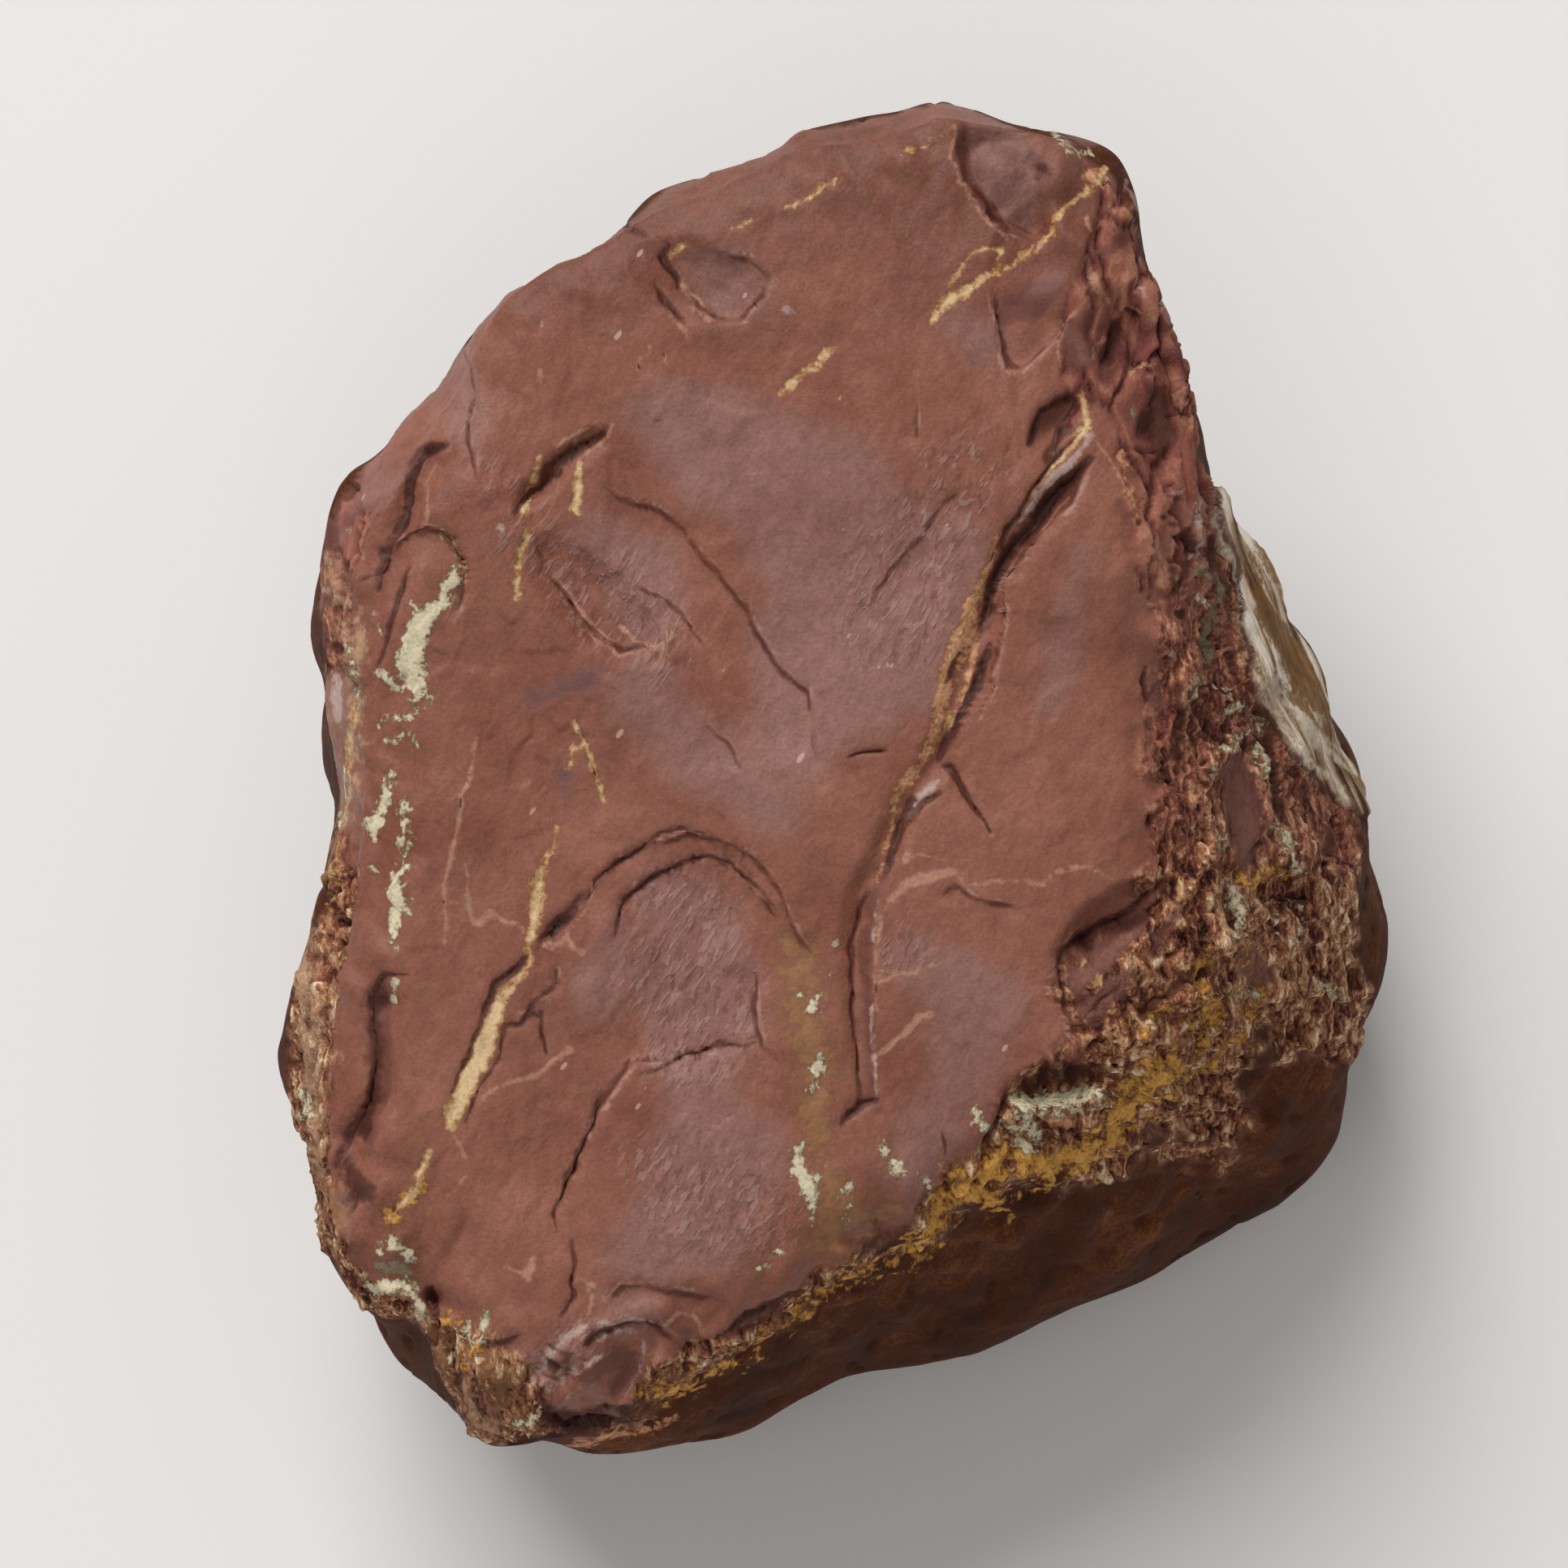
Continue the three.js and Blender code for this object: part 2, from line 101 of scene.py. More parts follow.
def smoothStep(value, low, high):
    # 0 below low, 1 above high, and 3t^2 - 2t^3 between them
    t = np.clip((value - low) / (high - low), 0, 1)
    return t * t * (3 - 2 * t)


def splinePoint(before, start, end, after, t):
    # centripetal Catmull-Rom: a cubic from start to end, its end slopes set by the points before and after,
    # each chord taking the square root of its length
    reach = [np.sqrt(np.linalg.norm(b - a, axis=-1, keepdims=True)) + 1e-9
             for a, b in ((before, start), (start, end), (end, after))]
    leave = (start - before) / reach[0] - (end - before) / (reach[0] + reach[1]) + (end - start) / reach[1]
    arrive = (end - start) / reach[1] - (after - start) / (reach[1] + reach[2]) + (after - end) / reach[2]
    leave, arrive = leave * reach[1], arrive * reach[1]
    return (start + leave * t + (3 * (end - start) - 2 * leave - arrive) * t ** 2
            + (2 * (start - end) + leave + arrive) * t ** 3)


def ringTable(points):
    # closed smooth curve through the points, twelve steps to each: rows of bearing, radius and height
    corners = np.zeros((len(points), 3))
    corners[:, :len(points[0])] = points
    around = [np.roll(corners, k, axis=0)[:, None] for k in (1, 0, -1, -2)]
    curve = splinePoint(*around, np.arange(12)[None, :, None] / 12).reshape(-1, 3)
    return np.array([np.arctan2(curve[:, 1], curve[:, 0]), np.hypot(curve[:, 0], curve[:, 1]), curve[:, 2]])


def lookUp(table, row, bearing):
    # straight-line look-up in a table that goes once round the circle
    return np.interp(bearing, table[0], table[row], period=2 * math.pi)


def evened(table):
    # the same ring with its bays and bumps averaged over a sixth of a turn
    bearing = np.arange(72) * math.pi / 36
    near = bearing[:, None] + np.arange(-5, 6) * math.pi / 60
    return np.array([bearing] + [lookUp(table, row, near).mean(axis=1) for row in (1, 2)])


rimRing, bellyRing = ringTable(rimPoints), ringTable(bellyPoints)
evenRim, evenBelly = evened(rimRing), evened(bellyRing)
shoulderRing = np.array([np.radians(shoulders[:, 0]), *shoulders[:, 1:].T])


def lumps(x, y, z):
    # two crossed sine waves about 15 and 30 mm long: broad, low waves in the stone's skin
    return (np.sin(0.21 * x + 0.13 * y + 0.9) * np.cos(0.17 * y - 0.19 * z + 0.4)
            + 0.6 * np.sin(0.43 * y + 0.31 * z + 2.1) * np.cos(0.39 * x - 0.27 * z))


def crumbs(point):
    # squared sine times an absolute sine of bent, slanting waves, less one: from -1 in the pits to 0 on top
    x, y, z = point.T
    u, v = 0.8 * (x + 0.4 * y + 0.5 * z), 0.8 * (y - 0.5 * x + 0.6 * z)
    return np.sin(u + np.sin(0.7 * v)) ** 2 * np.abs(np.sin(0.8 * v + np.cos(0.6 * u))) - 1


def laid(x, y, z):
    # face-on place turned back by the face's slope and lifted off the floor
    c, s = math.cos(stoneForm["faceSlope"]), math.sin(stoneForm["faceSlope"])
    return np.stack([x, c * y - s * z, s * y + c * z + stoneForm["faceHeight"]], axis=-1)


def faceOn(point):
    # the way back from the lying stone to face-on places
    c, s = math.cos(stoneForm["faceSlope"]), math.sin(stoneForm["faceSlope"])
    x, y, z = point[:, 0], point[:, 1], point[:, 2] - stoneForm["faceHeight"]
    return np.stack([x, c * y + s * z, c * z - s * y], axis=-1)


def stations(bearing):
    # the five places that one bearing's side runs through: edge of the face, widest line, flank, haunch, foot
    c, s = np.cos(bearing), np.sin(bearing)
    rim, belly, even = (lookUp(ring, 1, bearing) for ring in (rimRing, bellyRing, evenBelly))
    foot = stoneForm["footRadius"] * (1 + 0.14 * np.sin(2 * bearing + 0.6) + 0.08 * np.sin(3 * bearing + 2))
    edge = laid(rim * c, rim * s, broadFace(rim * c, rim * s))
    widest = laid(belly * c, belly * s, lookUp(bellyRing, 2, bearing))
    evenWidest = laid(even * c, even * s, lookUp(evenBelly, 2, bearing))
    footX, footY = stoneForm["footCentre"]
    footEdge = np.stack([footX + foot * c, footY + foot * s, 0 * bearing], axis=-1)
    uneven = 0.05 * np.sin(2 * bearing + 1.1) + 0.04 * np.sin(5 * bearing + 0.3)
    between = []
    for reach, rise in (stoneForm["flank"], stoneForm["haunch"]):
        share = np.stack([reach + uneven, reach + uneven, rise + 0 * bearing], axis=-1)
        between.append(footEdge + (evenWidest - footEdge) * share)
    return np.stack([edge, widest, *between, footEdge], axis=1)


def broadFace(x, y):
    # low waves, less a square-law roll-over within the shoulder's width of the edge
    bearing = np.arctan2(y, x)
    width, drop = lookUp(shoulderRing, 1, bearing), lookUp(shoulderRing, 2, bearing)
    fromEdge = np.clip(lookUp(rimRing, 1, bearing) - np.hypot(x, y), 0, width)
    return 0.35 * lumps(x, y, 0) - drop * (1 - fromEdge / width) ** 2


def crumbled(point, bearing, depth):
    # crumbs near the edge of the face: upwards on the face, outwards on the side
    near = smoothStep(depth, 0.78, 0.95) * (1 - smoothStep(depth, 1.2, 2)) * lookUp(shoulderRing, 3, bearing)
    out = smoothStep(depth, 0.9, 1.3)
    way = np.stack([out * np.cos(bearing), out * np.sin(bearing), 1 - out], axis=-1)
    return point + way * (near * crumbs(point))[:, None]


def broadSkin(bearing, depth, x, y):
    # skin of the stone without its fine relief. Depth is 0 at the middle of the face, 1 at its edge, 2 at the
    # widest line, 3 at the flank, 4 at the haunch, 5 at the edge of the flat spot and 6 at its middle. The
    # face is a height over x, y; the side is a smooth curve through the stations, pushed out by the lumps
    face = laid(x, y, broadFace(x, y))
    side = stations(bearing)
    inside = np.array([*stoneForm["footCentre"], 0.0])
    foot = side[:, 4] + (inside - side[:, 4]) * np.clip(depth - 5, 0, 1)[:, None]
    longer = np.concatenate([2 * side[:, :1] - side[:, 1:2], side, 2 * side[:, 4:] - side[:, 3:4]], axis=1)
    span = np.clip(depth - 1, 0, 3.999999)
    first = span.astype(int)
    row = np.arange(len(depth))
    curve = splinePoint(*(longer[row, first + k] for k in range(4)), (span - first)[:, None])
    away = curve - (0, 0, stoneForm["faceHeight"] / 2)
    away /= np.linalg.norm(away, axis=1, keepdims=True)
    push = lumps(*curve.T) * smoothStep(depth, 1, 2) * (1 - smoothStep(depth, 4, 5))
    curve = curve + away * push[:, None]
    onFace, onFoot = (depth <= 1)[:, None], (depth >= 5)[:, None]
    point = np.where(onFoot, foot, crumbled(np.where(onFace, face, curve), bearing, depth))
    point[:, 2] = np.maximum(point[:, 2], 0)
    return point


# ---- grid of the skin
def discGrid(cells):
    # a square grid pressed into a disc, so that the skin has no crowded pole: bearing and share of the radius
    line = np.linspace(-1, 1, cells + 1)
    a, b = np.meshgrid(line, line, indexing="ij")
    wide = np.abs(a) >= np.abs(b)
    share = np.where(wide, a, b)
    part = np.where(wide, b, a) / np.where(share == 0, 1, share) * math.pi / 4
    bearing = np.where(wide, part, math.pi / 2 - part) + np.where(share < 0, math.pi, 0)
    return bearing.ravel(), np.abs(share).ravel()


def upperDepth(bearing, share):
    # the face and the side share out each spoke of the disc by their lengths, the side's counted half
    face = lookUp(evenRim, 1, bearing)
    side = np.hypot(lookUp(evenBelly, 1, bearing) - face, lookUp(evenBelly, 2, bearing))
    whole = face + 0.5 * side + 5.0
    rim, widest = face / whole, (face + 0.5 * side) / whole
    return np.where(share < rim, share / rim, np.where(
        share < widest, 1 + (share - rim) / (widest - rim), 2 + (share - widest) / (1 - widest)))


def skinGrid():
    # two pressed grids, face and underside, that meet along the flank. A fan of thin triangles closes the
    # step from four fine cells to one coarse cell all round
    fine, coarse = stoneForm["faceCells"], stoneForm["footCells"]
    bearing, share = discGrid(fine)
    underBearing, underShare = discGrid(coarse)
    depth = upperDepth(bearing, share)
    underDepth = np.interp(underShare, (0, 0.36, 0.72, 1), (6, 5, 4, 3))
    upper = np.arange((fine + 1) ** 2).reshape(fine + 1, fine + 1)
    under = np.arange((coarse + 1) ** 2).reshape(coarse + 1, coarse + 1) + upper.size
    step = fine // coarse
    for edge in (np.s_[0, :], np.s_[-1, :], np.s_[:, 0], np.s_[:, -1]):
        under[edge] = upper[edge][::step]
    quads = [(g[:-1, :-1], g[1:, :-1], g[1:, 1:], g[:-1, 1:]) for g in (upper, under.T)]
    quads = np.concatenate([np.stack([c.ravel() for c in quad], axis=1) for quad in quads])
    ring = np.concatenate([upper[:-1, 0], upper[-1, :-1], upper[:0:-1, -1], upper[0, :0:-1]])
    ring = np.append(ring, ring[0])
    start = np.arange(0, len(ring) - 1, step)
    fans = np.concatenate([np.stack([ring[start], ring[start + k + 1], ring[start + k]], axis=1)
                           for k in range(1, step)])
    return (np.concatenate([bearing, underBearing]), np.concatenate([depth, underDepth]), quads, fans)


def cutQuads(point, quads, fans):
    # each cell is cut along its shorter diagonal; the points that no triangle uses are left out later, in
    # buildStone
    a, b, c, d = quads.T
    shortAC = np.linalg.norm(point[a] - point[c], axis=1) < np.linalg.norm(point[b] - point[d], axis=1)
    first = np.where(shortAC[:, None], np.stack([a, b, c], 1), np.stack([a, b, d], 1))
    second = np.where(shortAC[:, None], np.stack([a, c, d], 1), np.stack([b, c, d], 1))
    return np.concatenate([first, second, fans])


def pointNormals(point, triangles):
    # sum of the normals of the triangles round each point, weighted by their areas, made one long
    a, b, c = (point[triangles[:, k]] for k in range(3))
    across = np.cross(b - a, c - a)
    total = np.zeros_like(point)
    for k in range(3):
        np.add.at(total, triangles[:, k], across)
    return total / np.maximum(np.linalg.norm(total, axis=1, keepdims=True), 1e-12)


# ---- noise
def cornerSlopes(cell, seed):
    # whole-number mixing of a cell's place and the seed into one unit slope
    x, y, z = cell.T
    key = x * np.uint32(73856093) ^ y * np.uint32(19349663) ^ z * np.uint32(83492791)
    key = key + np.uint32(seed * 7919 + 1)
    for shift, factor in ((16, 0x7feb352d), (15, 0x846ca68b)):
        key = (key ^ (key >> np.uint32(shift))) * np.uint32(factor)
    key = key ^ (key >> np.uint32(16))
    turn = (key & np.uint32(0xffff)) * (2 * math.pi / 65536)
    up = (key >> np.uint32(16)) / 32768 - 1
    flat = np.sqrt(np.maximum(1 - up * up, 0))
    return np.stack([flat * np.cos(turn), flat * np.sin(turn), up], axis=1)


def noise(point, size, seed):
    # gradient noise, about -1 to 1, with hills of the given size in mm: the slopes at a cell's eight corners
    # are blended with smooth weights
    spot = point / size + 500
    cell = np.floor(spot)
    within = spot - cell
    blend = within ** 3 * (within * (within * 6 - 15) + 10)
    total = np.zeros(len(point))
    for corner in np.ndindex(2, 2, 2):
        slope = cornerSlopes((cell + corner).astype(np.uint32), seed)
        weight = np.where(corner, blend, 1 - blend).prod(axis=1)
        total += weight * ((within - corner) * slope).sum(axis=1)
    return total * 1.7


def roughNoise(point, size, octaves, seed):
    # noise summed over octaves, each half as wide and half as high
    return sum(noise(point, size / 2 ** k, seed + k) / 2 ** k for k in range(octaves))


def ridgeNoise(point, size, octaves, seed):
    # one less twice the size of the noise, from about -1 in broad hollows to 1 on thin ridges, over octaves
    parts = [(1 - 2.4 * np.abs(noise(point, size / 2 ** k, seed + k))) / 2 ** k for k in range(octaves)]
    return sum(parts) / sum(0.5 ** k for k in range(octaves))


def chipNoise(point, size, seed):
    # broken flakes: each place lies on the tilted plane of the nearest random centre, from about -1 to 1.
    # The second result is how much further the next centre is, near 0 along the edges between flakes
    spot = point / size + 500
    cell = np.floor(spot)
    nearest, second = np.full(len(point), 9.0), np.full(len(point), 9.0)
    height = np.zeros(len(point))
    for step in np.ndindex(3, 3, 3):
        corner = cell + step - 1
        slope = cornerSlopes(corner.astype(np.uint32), seed)
        gap = spot - corner - 0.5 - 0.45 * slope
        far = np.sqrt((gap * gap).sum(axis=1))
        second = np.minimum(second, np.maximum(far, nearest))
        tilted = 1.2 * (gap * slope[:, (1, 2, 0)]).sum(axis=1) + 0.45 * slope[:, 0]
        height = np.where(far < nearest, tilted, height)
        nearest = np.minimum(nearest, far)
    return height, second - nearest


# ---- breaks across the face
# Cracks and grooves: path x, y; half width; depth
grooves = [
    ([(16.2, 17.4), (15, 15.6), (13.4, 14.2), (12, 12.6), (11, 10.6), (10.1, 8.2), (9.4, 5.7), (8.4, 3.4),
      (7.9, 1.3), (6.3, -1), (5.1, -3.4), (3.9, -5.8), (3.6, -8.3), (3.8, -11.4), (4, -13.9), (4.8, -16.6)],
     0.9, 0.6),
    ([(-20.3, -9.8), (-20.6, -13), (-21, -16), (-22.3, -18.9), (-22.9, -21)], 1.2, 1.0),
    ([(-17.6, 17.3), (-18.9, 15.2), (-20.1, 13.1), (-20.6, 11)], 1.0, 0.8),
    ([(-13.6, 14.3), (-11.4, 16.4), (-9, 18.2)], 0.8, 0.8),
]
# Marks are placed in a square-on view of the face, by pixels across and down
faceView = {"middle": 966, "pixelsPerMm": 24}


def inMm(path):
    # x = (across - middle) / pixelsPerMm and y = (middle - down) / pixelsPerMm, rounded to a tenth, and
    # half width / pixelsPerMm, where there is one, rounded to a hundredth
    middle, perMm = faceView["middle"], faceView["pixelsPerMm"]
    return [(round((across - middle) / perMm, 1), round((middle - down) / perMm, 1),
             *(round(half / perMm, 2) for half in halves)) for across, down, *halves in path]


# Steps where a flake came away: path x, y; drop; reach. The face right of the path lies lower by the drop and
# climbs back over the reach, or the face left of it where the drop is negative. A path placed in pixels of
# faceView goes through inMm
steps = [
    ([(-13.5, -9.5), (-11.8, -7.5), (-9.5, -4.9), (-8.1, -3.7), (-6.7, -3), (-5, -2.6), (-3.3, -3),
      (-1.8, -3.7), (-0.3, -5.2), (0.6, -7.4)], 0.25, 13),
    ([(-8.8, -7.7), (-8.1, -6), (-7.3, -5), (-5.8, -4.2), (-4.4, -3.8), (-3, -4.2), (-1.8, -5), (-0.7, -6.3),
      (-0.1, -7.5)], 0.3, 11),
    ([(-4.2, 3.3), (-2.5, 1.9), (-2, 0.7)], 0.12, 3),
    ([(-7.8, 10.3), (-5.8, 9.3), (-5.1, 8.8), (-4, 7)], 0.12, 2),
    ([(-2.4, -16.7), (-3.3, -17.5), (-4.4, -18.6)], 0.12, 2.5),
    ([(2, 0.2), (1.6, 3), (1.3, 4.8), (0.1, 5.8), (-1.1, 7.4), (-2, 9), (-3, 10.5), (-4.2, 11.7),
      (-5.1, 12.9), (-6.3, 14), (-7.8, 14.5), (-9.7, 15.5)], -0.35, 11),
    ([(8.9, 34), (9.3, 31.3), (10.8, 29.2), (12.7, 28.1), (14.3, 28.6)], -1.3, 6),
    ([(16.2, 16.9), (14.7, 14.4), (12.6, 12.2), (11.4, 10.2), (11.2, 8), (10.8, 5), (9.9, 3)], 0.3, 3),
    ([(-1.9, -13.1), (-4.8, -13.9), (-7.8, -14.3), (-9.6, -16.8), (-11.1, -20.2), (-11.5, -22.7)], 0.5, 8),
    ([(-13.2, 13.1), (-12.3, 11), (-10.6, 8.8), (-9.4, 7.4), (-8.5, 6.7), (-7.5, 6.9), (-5.6, 7.6)],
     -0.35, 4),
    (inMm([(463, 732), (470, 706), (483, 672), (503, 653), (526, 648), (546, 659), (562, 679),
           (574, 699), (570, 735), (548, 775)]), 0.35, 3),
    (inMm([(885, 309), (925, 319), (948, 345), (941, 372), (918, 392), (892, 395), (858, 382),
           (838, 355)]), 0.3, 4),
    (inMm([(572, 418), (583, 445), (587, 478), (580, 518), (587, 600)]), 0.25, 3),
    (inMm([(709, 1665), (739, 1639), (772, 1625), (812, 1632), (840, 1660)]), 0.45, 2.5),
    (inMm([(745, 1602), (765, 1582), (795, 1585), (850, 1595), (900, 1600)]), 0.3, 3),
    (inMm([(1219, 355), (1232, 418), (1239, 455), (1258, 455), (1290, 430), (1325, 380)]), -0.4, 3),
    ([(6.8, 20.7), (6.8, 19.2), (6.6, 17.3)], 0.15, 2),
    ([(4.2, 9.5), (5.1, 10.7), (6, 11.7), (7, 12.9), (8, 14.3), (9.2, 15.5)], 0.2, 3),
    (inMm([(1310, 1170), (1303, 1215), (1315, 1250), (1330, 1290)]), -0.5, 3),
    (inMm([(960, 1110), (985, 1150), (1010, 1180)]), 0.2, 3),
    (inMm([(935, 1190), (930, 1240), (940, 1290), (965, 1310)]), 0.25, 4),
    (inMm([(1150, 1110), (1175, 1085), (1200, 1105), (1260, 1120)]), 0.2, 3),
    (inMm([(640, 1680), (680, 1670), (712, 1700)]), 0.4, 2),
    (inMm([(590, 1640), (620, 1650), (650, 1640)]), 0.4, 2),
]
# Scooped hollows: centre x, y; half length; half width; turn in degrees; depth
scoops = [
    (17.0, -7.2, 3.6, 1.7, 38, 1.5), (14.1, -15.4, 3.2, 1.1, 10, 2.2), (17.2, 23.4, 2.7, 1.8, 100, 1.4),
    (19.6, 18.3, 2.4, 1.5, 80, 1.3), (14.0, 18.6, 1.9, 1.0, 50, 1.1), (-8.6, -30.4, 2.9, 1.2, 38, 0.9),
    (-9.4, -28.2, 3.3, 0.7, 30, -0.35), (-6.8, -26.9, 1.3, 0.8, 0, -0.35),
    (-10.4, -32.6, 2.2, 1.2, 20, 2.0), (-4.5, 25.8, 3.6, 2.2, -20, 0.8), (-9.8, 9.3, 5.0, 2.0, -42, 0.7),
    (-4.6, -9.6, 5.0, 5.6, 0, 0.5), (18.4, 27.6, 2.2, 1.0, 110, 0.9), (-22.0, -20.2, 1.8, 1.2, 60, 0.9),
    (-18.1, -26.4, 0.7, 0.5, 0, 0.8), (-5.0, -28.7, 0.7, 0.6, 0, 0.5), (13.1, 27.9, 3.4, 2.2, 50, 0.5),
]
# Open cracks, slits and pits, cut into the face and painted dark as shade: across, down and half width at
# each point, in pixels of faceView
crackStrokes = [
    [(1082, 1358, 3), (1062, 1360, 6), (1048, 1368, 6), (1039, 1383, 2)],
    [(1168, 941, 6), (1185, 971, 4), (1205, 1004, 3), (1220, 1028, 1)],
    [(1155, 975, 3), (1140, 990, 5), (1122, 1008, 4), (1110, 1022, 2)],
    [(1042, 935, 1), (1066, 931, 3), (1092, 925, 3)],
    [(1268, 545, 5), (1285, 505, 4), (1315, 484, 4), (1328, 490, 3)],
    [(1328, 500, 3), (1308, 541, 5), (1288, 560, 4)],
    [(695, 578, 2), (675, 590, 4), (655, 603, 4), (640, 621, 4), (632, 632, 2)],
    [(824, 300, 3), (815, 313, 5), (824, 330, 4), (832, 349, 4), (835, 360, 2)],
    [(803, 350, 2), (815, 372, 4), (838, 391, 3), (846, 396, 1)],
    [(556, 545, 3), (534, 552, 7), (516, 560, 8), (509, 578, 6), (503, 606, 6), (498, 633, 6),
     (486, 656, 6), (473, 679, 7), (468, 700, 6), (465, 725, 3)],
    [(698, 1123, 6), (712, 1106, 4), (721, 1096, 3), (745, 1073, 3), (768, 1060, 3), (794, 1043, 2),
     (814, 1023, 2), (838, 1018, 2), (870, 1031, 1)],
    [(752, 1160, 1), (758, 1146, 2), (765, 1119, 3), (781, 1096, 3), (811, 1076, 3), (841, 1060, 2),
     (870, 1056, 2), (900, 1066, 2), (936, 1093, 2), (956, 1125, 1)],
    [(668, 1157, 4), (682, 1143, 9), (695, 1127, 8)],
    [(645, 1176, 3), (632, 1194, 5), (612, 1219, 5), (599, 1245, 4), (594, 1260, 2)],
    [(685, 1196, 2), (678, 1219, 3), (655, 1235, 3), (642, 1259, 3), (620, 1266, 2)],
    [(665, 1239, 2), (665, 1272, 2), (672, 1298, 1)],
    [(930, 1286, 1), (913, 1285, 2), (887, 1282, 2), (860, 1295, 2), (838, 1299, 2), (804, 1318, 2),
     (775, 1332, 1)],
    [(888, 1648, 3), (921, 1622, 7), (961, 1605, 6), (995, 1590, 3)],
    [(905, 1640, 2), (930, 1630, 4), (965, 1622, 3)],
    [(870, 1655, 3), (880, 1668, 4)],
    [(530, 1590, 5), (532, 1605, 8), (538, 1618, 5)],
    [(770, 275, 2), (783, 285, 4), (795, 292, 2)],
    [(805, 518, 1), (815, 516, 1)],
    [(1386, 380, 3), (1402, 393, 5)],
    [(1436, 432, 3)],
    [(1445, 403, 3)],
    [(1376, 400, 4), (1372, 425, 6), (1362, 448, 5)],
    [(1418, 497, 3), (1427, 481, 3), (1441, 476, 3)],
    [(1400, 644, 4)],
    [(1438, 637, 4)],
    [(1406, 616, 3)],
    [(1443, 687, 4)],
    [(1406, 729, 3)],
    [(1464, 756, 5)],
    [(1500, 667, 6), (1496, 699, 7)],
    [(1466, 651, 4), (1471, 678, 4)],
    [(1409, 823, 2), (1409, 845, 4), (1412, 867, 2)],
    [(1567, 903, 4), (1570, 947, 7), (1573, 982, 7), (1585, 1005, 4)],
    [(1124, 985, 4), (1111, 1015, 5), (1102, 1045, 5), (1090, 1072, 4)],
    [(1438, 1087, 3), (1406, 1113, 5), (1368, 1134, 6), (1330, 1160, 6), (1312, 1178, 3), (1303, 1193, 2),
     (1306, 1225, 2), (1312, 1252, 1)],
    [(1471, 1193, 3), (1438, 1222, 6), (1409, 1252, 5)],
    [(500, 1200, 1), (470, 1203, 4), (457, 1230, 4), (456, 1261, 4), (459, 1290, 4), (454, 1327, 5),
     (449, 1363, 5), (430, 1399, 6), (415, 1436, 4)],
    [(1238, 1345, 4), (1232, 1380, 4), (1218, 1408, 4)],
    [(1198, 1497, 4)],
    [(1163, 1425, 1), (1166, 1392, 1)],
    [(444, 713, 3), (462, 706, 2)],
    [(425, 800, 4), (418, 790, 3)],
    [(505, 690, 2), (492, 735, 3), (478, 790, 3), (470, 820, 2)],
    [(1330, 537, 2), (1303, 564, 2), (1277, 596, 3), (1259, 624, 3), (1245, 650, 4), (1236, 672, 3)],
    [(1347, 566, 4), (1330, 582, 8), (1298, 616, 11), (1270, 648, 9), (1250, 672, 8), (1234, 698, 8),
     (1223, 722, 8), (1215, 744, 6), (1206, 766, 3)],
    [(1187, 806, 3), (1178, 822, 4), (1168, 840, 3)],
    [(1221, 790, 3), (1219, 808, 6), (1212, 830, 7), (1200, 852, 7), (1188, 872, 6), (1176, 892, 4),
     (1166, 910, 4), (1158, 935, 3)],
    [(587, 1680, 2), (592, 1715, 3), (596, 1745, 2)],
    [(562, 1670, 2), (566, 1700, 3), (572, 1725, 2)],
    [(1300, 543, 2), (1317, 509, 2), (1329, 488, 2)],
    [(666, 1666, 1.5), (690, 1680, 2), (712, 1690, 1.5)],
    [(672, 1656, 1.5), (700, 1668, 2), (722, 1676, 1.5)],
    [(660, 1684, 1.5), (678, 1696, 2), (700, 1706, 1.5)],
    [(723, 1656, 2), (745, 1642, 3), (770, 1634, 3), (800, 1634, 3), (819, 1640, 2)],
    [(745, 1339, 1), (735, 1361, 2), (725, 1395, 2.5), (708, 1431, 3), (692, 1466, 3), (684, 1499, 2),
     (689, 1526, 1)],
    [(706, 1529, 1.5), (709, 1549, 2), (702, 1577, 2.5), (706, 1597, 2.5), (692, 1625, 2)],
    [(751, 526, 1.5), (730, 538, 2.5), (708, 552, 3), (688, 567, 2.5), (668, 584, 2)],
    [(1074, 1098, 2), (1056, 1125, 3), (1049, 1160, 3), (1047, 1210, 2.5), (1050, 1260, 2.5),
     (1052, 1320, 2), (1060, 1350, 1.5)],
    [(594, 1260, 2), (579, 1289, 2), (555, 1343, 1.5)],
    [(620, 1266, 2), (613, 1302, 2), (586, 1343, 1.5), (572, 1385, 1.5)],
    [(1490, 640, 1.5), (1502, 700, 2), (1513, 760, 2.5), (1526, 820, 2.5), (1540, 865, 2.5)],
    [(680, 1750, 8), (704, 1764, 11), (735, 1760, 9), (765, 1748, 5)],
    [(735, 1740, 3), (770, 1734, 5), (800, 1726, 3)],
    [(1494, 596, 1.5), (1504, 640, 1.5), (1518, 690, 2), (1526, 740, 2), (1536, 790, 2), (1548, 850, 2.5),
     (1572, 902, 2.5), (1610, 946, 2.5), (1652, 988, 2)],
    [(1334, 1262, 1.5), (1356, 1236, 2), (1384, 1210, 1.5)],
    [(1372, 1262, 1.5), (1396, 1232, 2), (1416, 1200, 1.5)],
]
breakForm = {
    "wallWidth": 0.18,  # a step's wall takes this much of the face, in mm
    "wallLean": 0.35,  # and this share of its drop besides
    "crackSteepness": 1.3,  # a crack is this many times as deep as it is half wide
    "crackDeepest": 0.8,  # but no deeper than this, in mm
    "gatherReach": 0.55,  # the grid is drawn in to a crack, step or thin line from this far, in mm
    "thin": 0.24,  # lines of less than this half width draw the grid in, in mm
    "spread": 0.03,  # added to the half width of every mark, in mm
    "waver": 0.22,  # cracks, steps and marks stray this far from their smooth paths, in mm
}


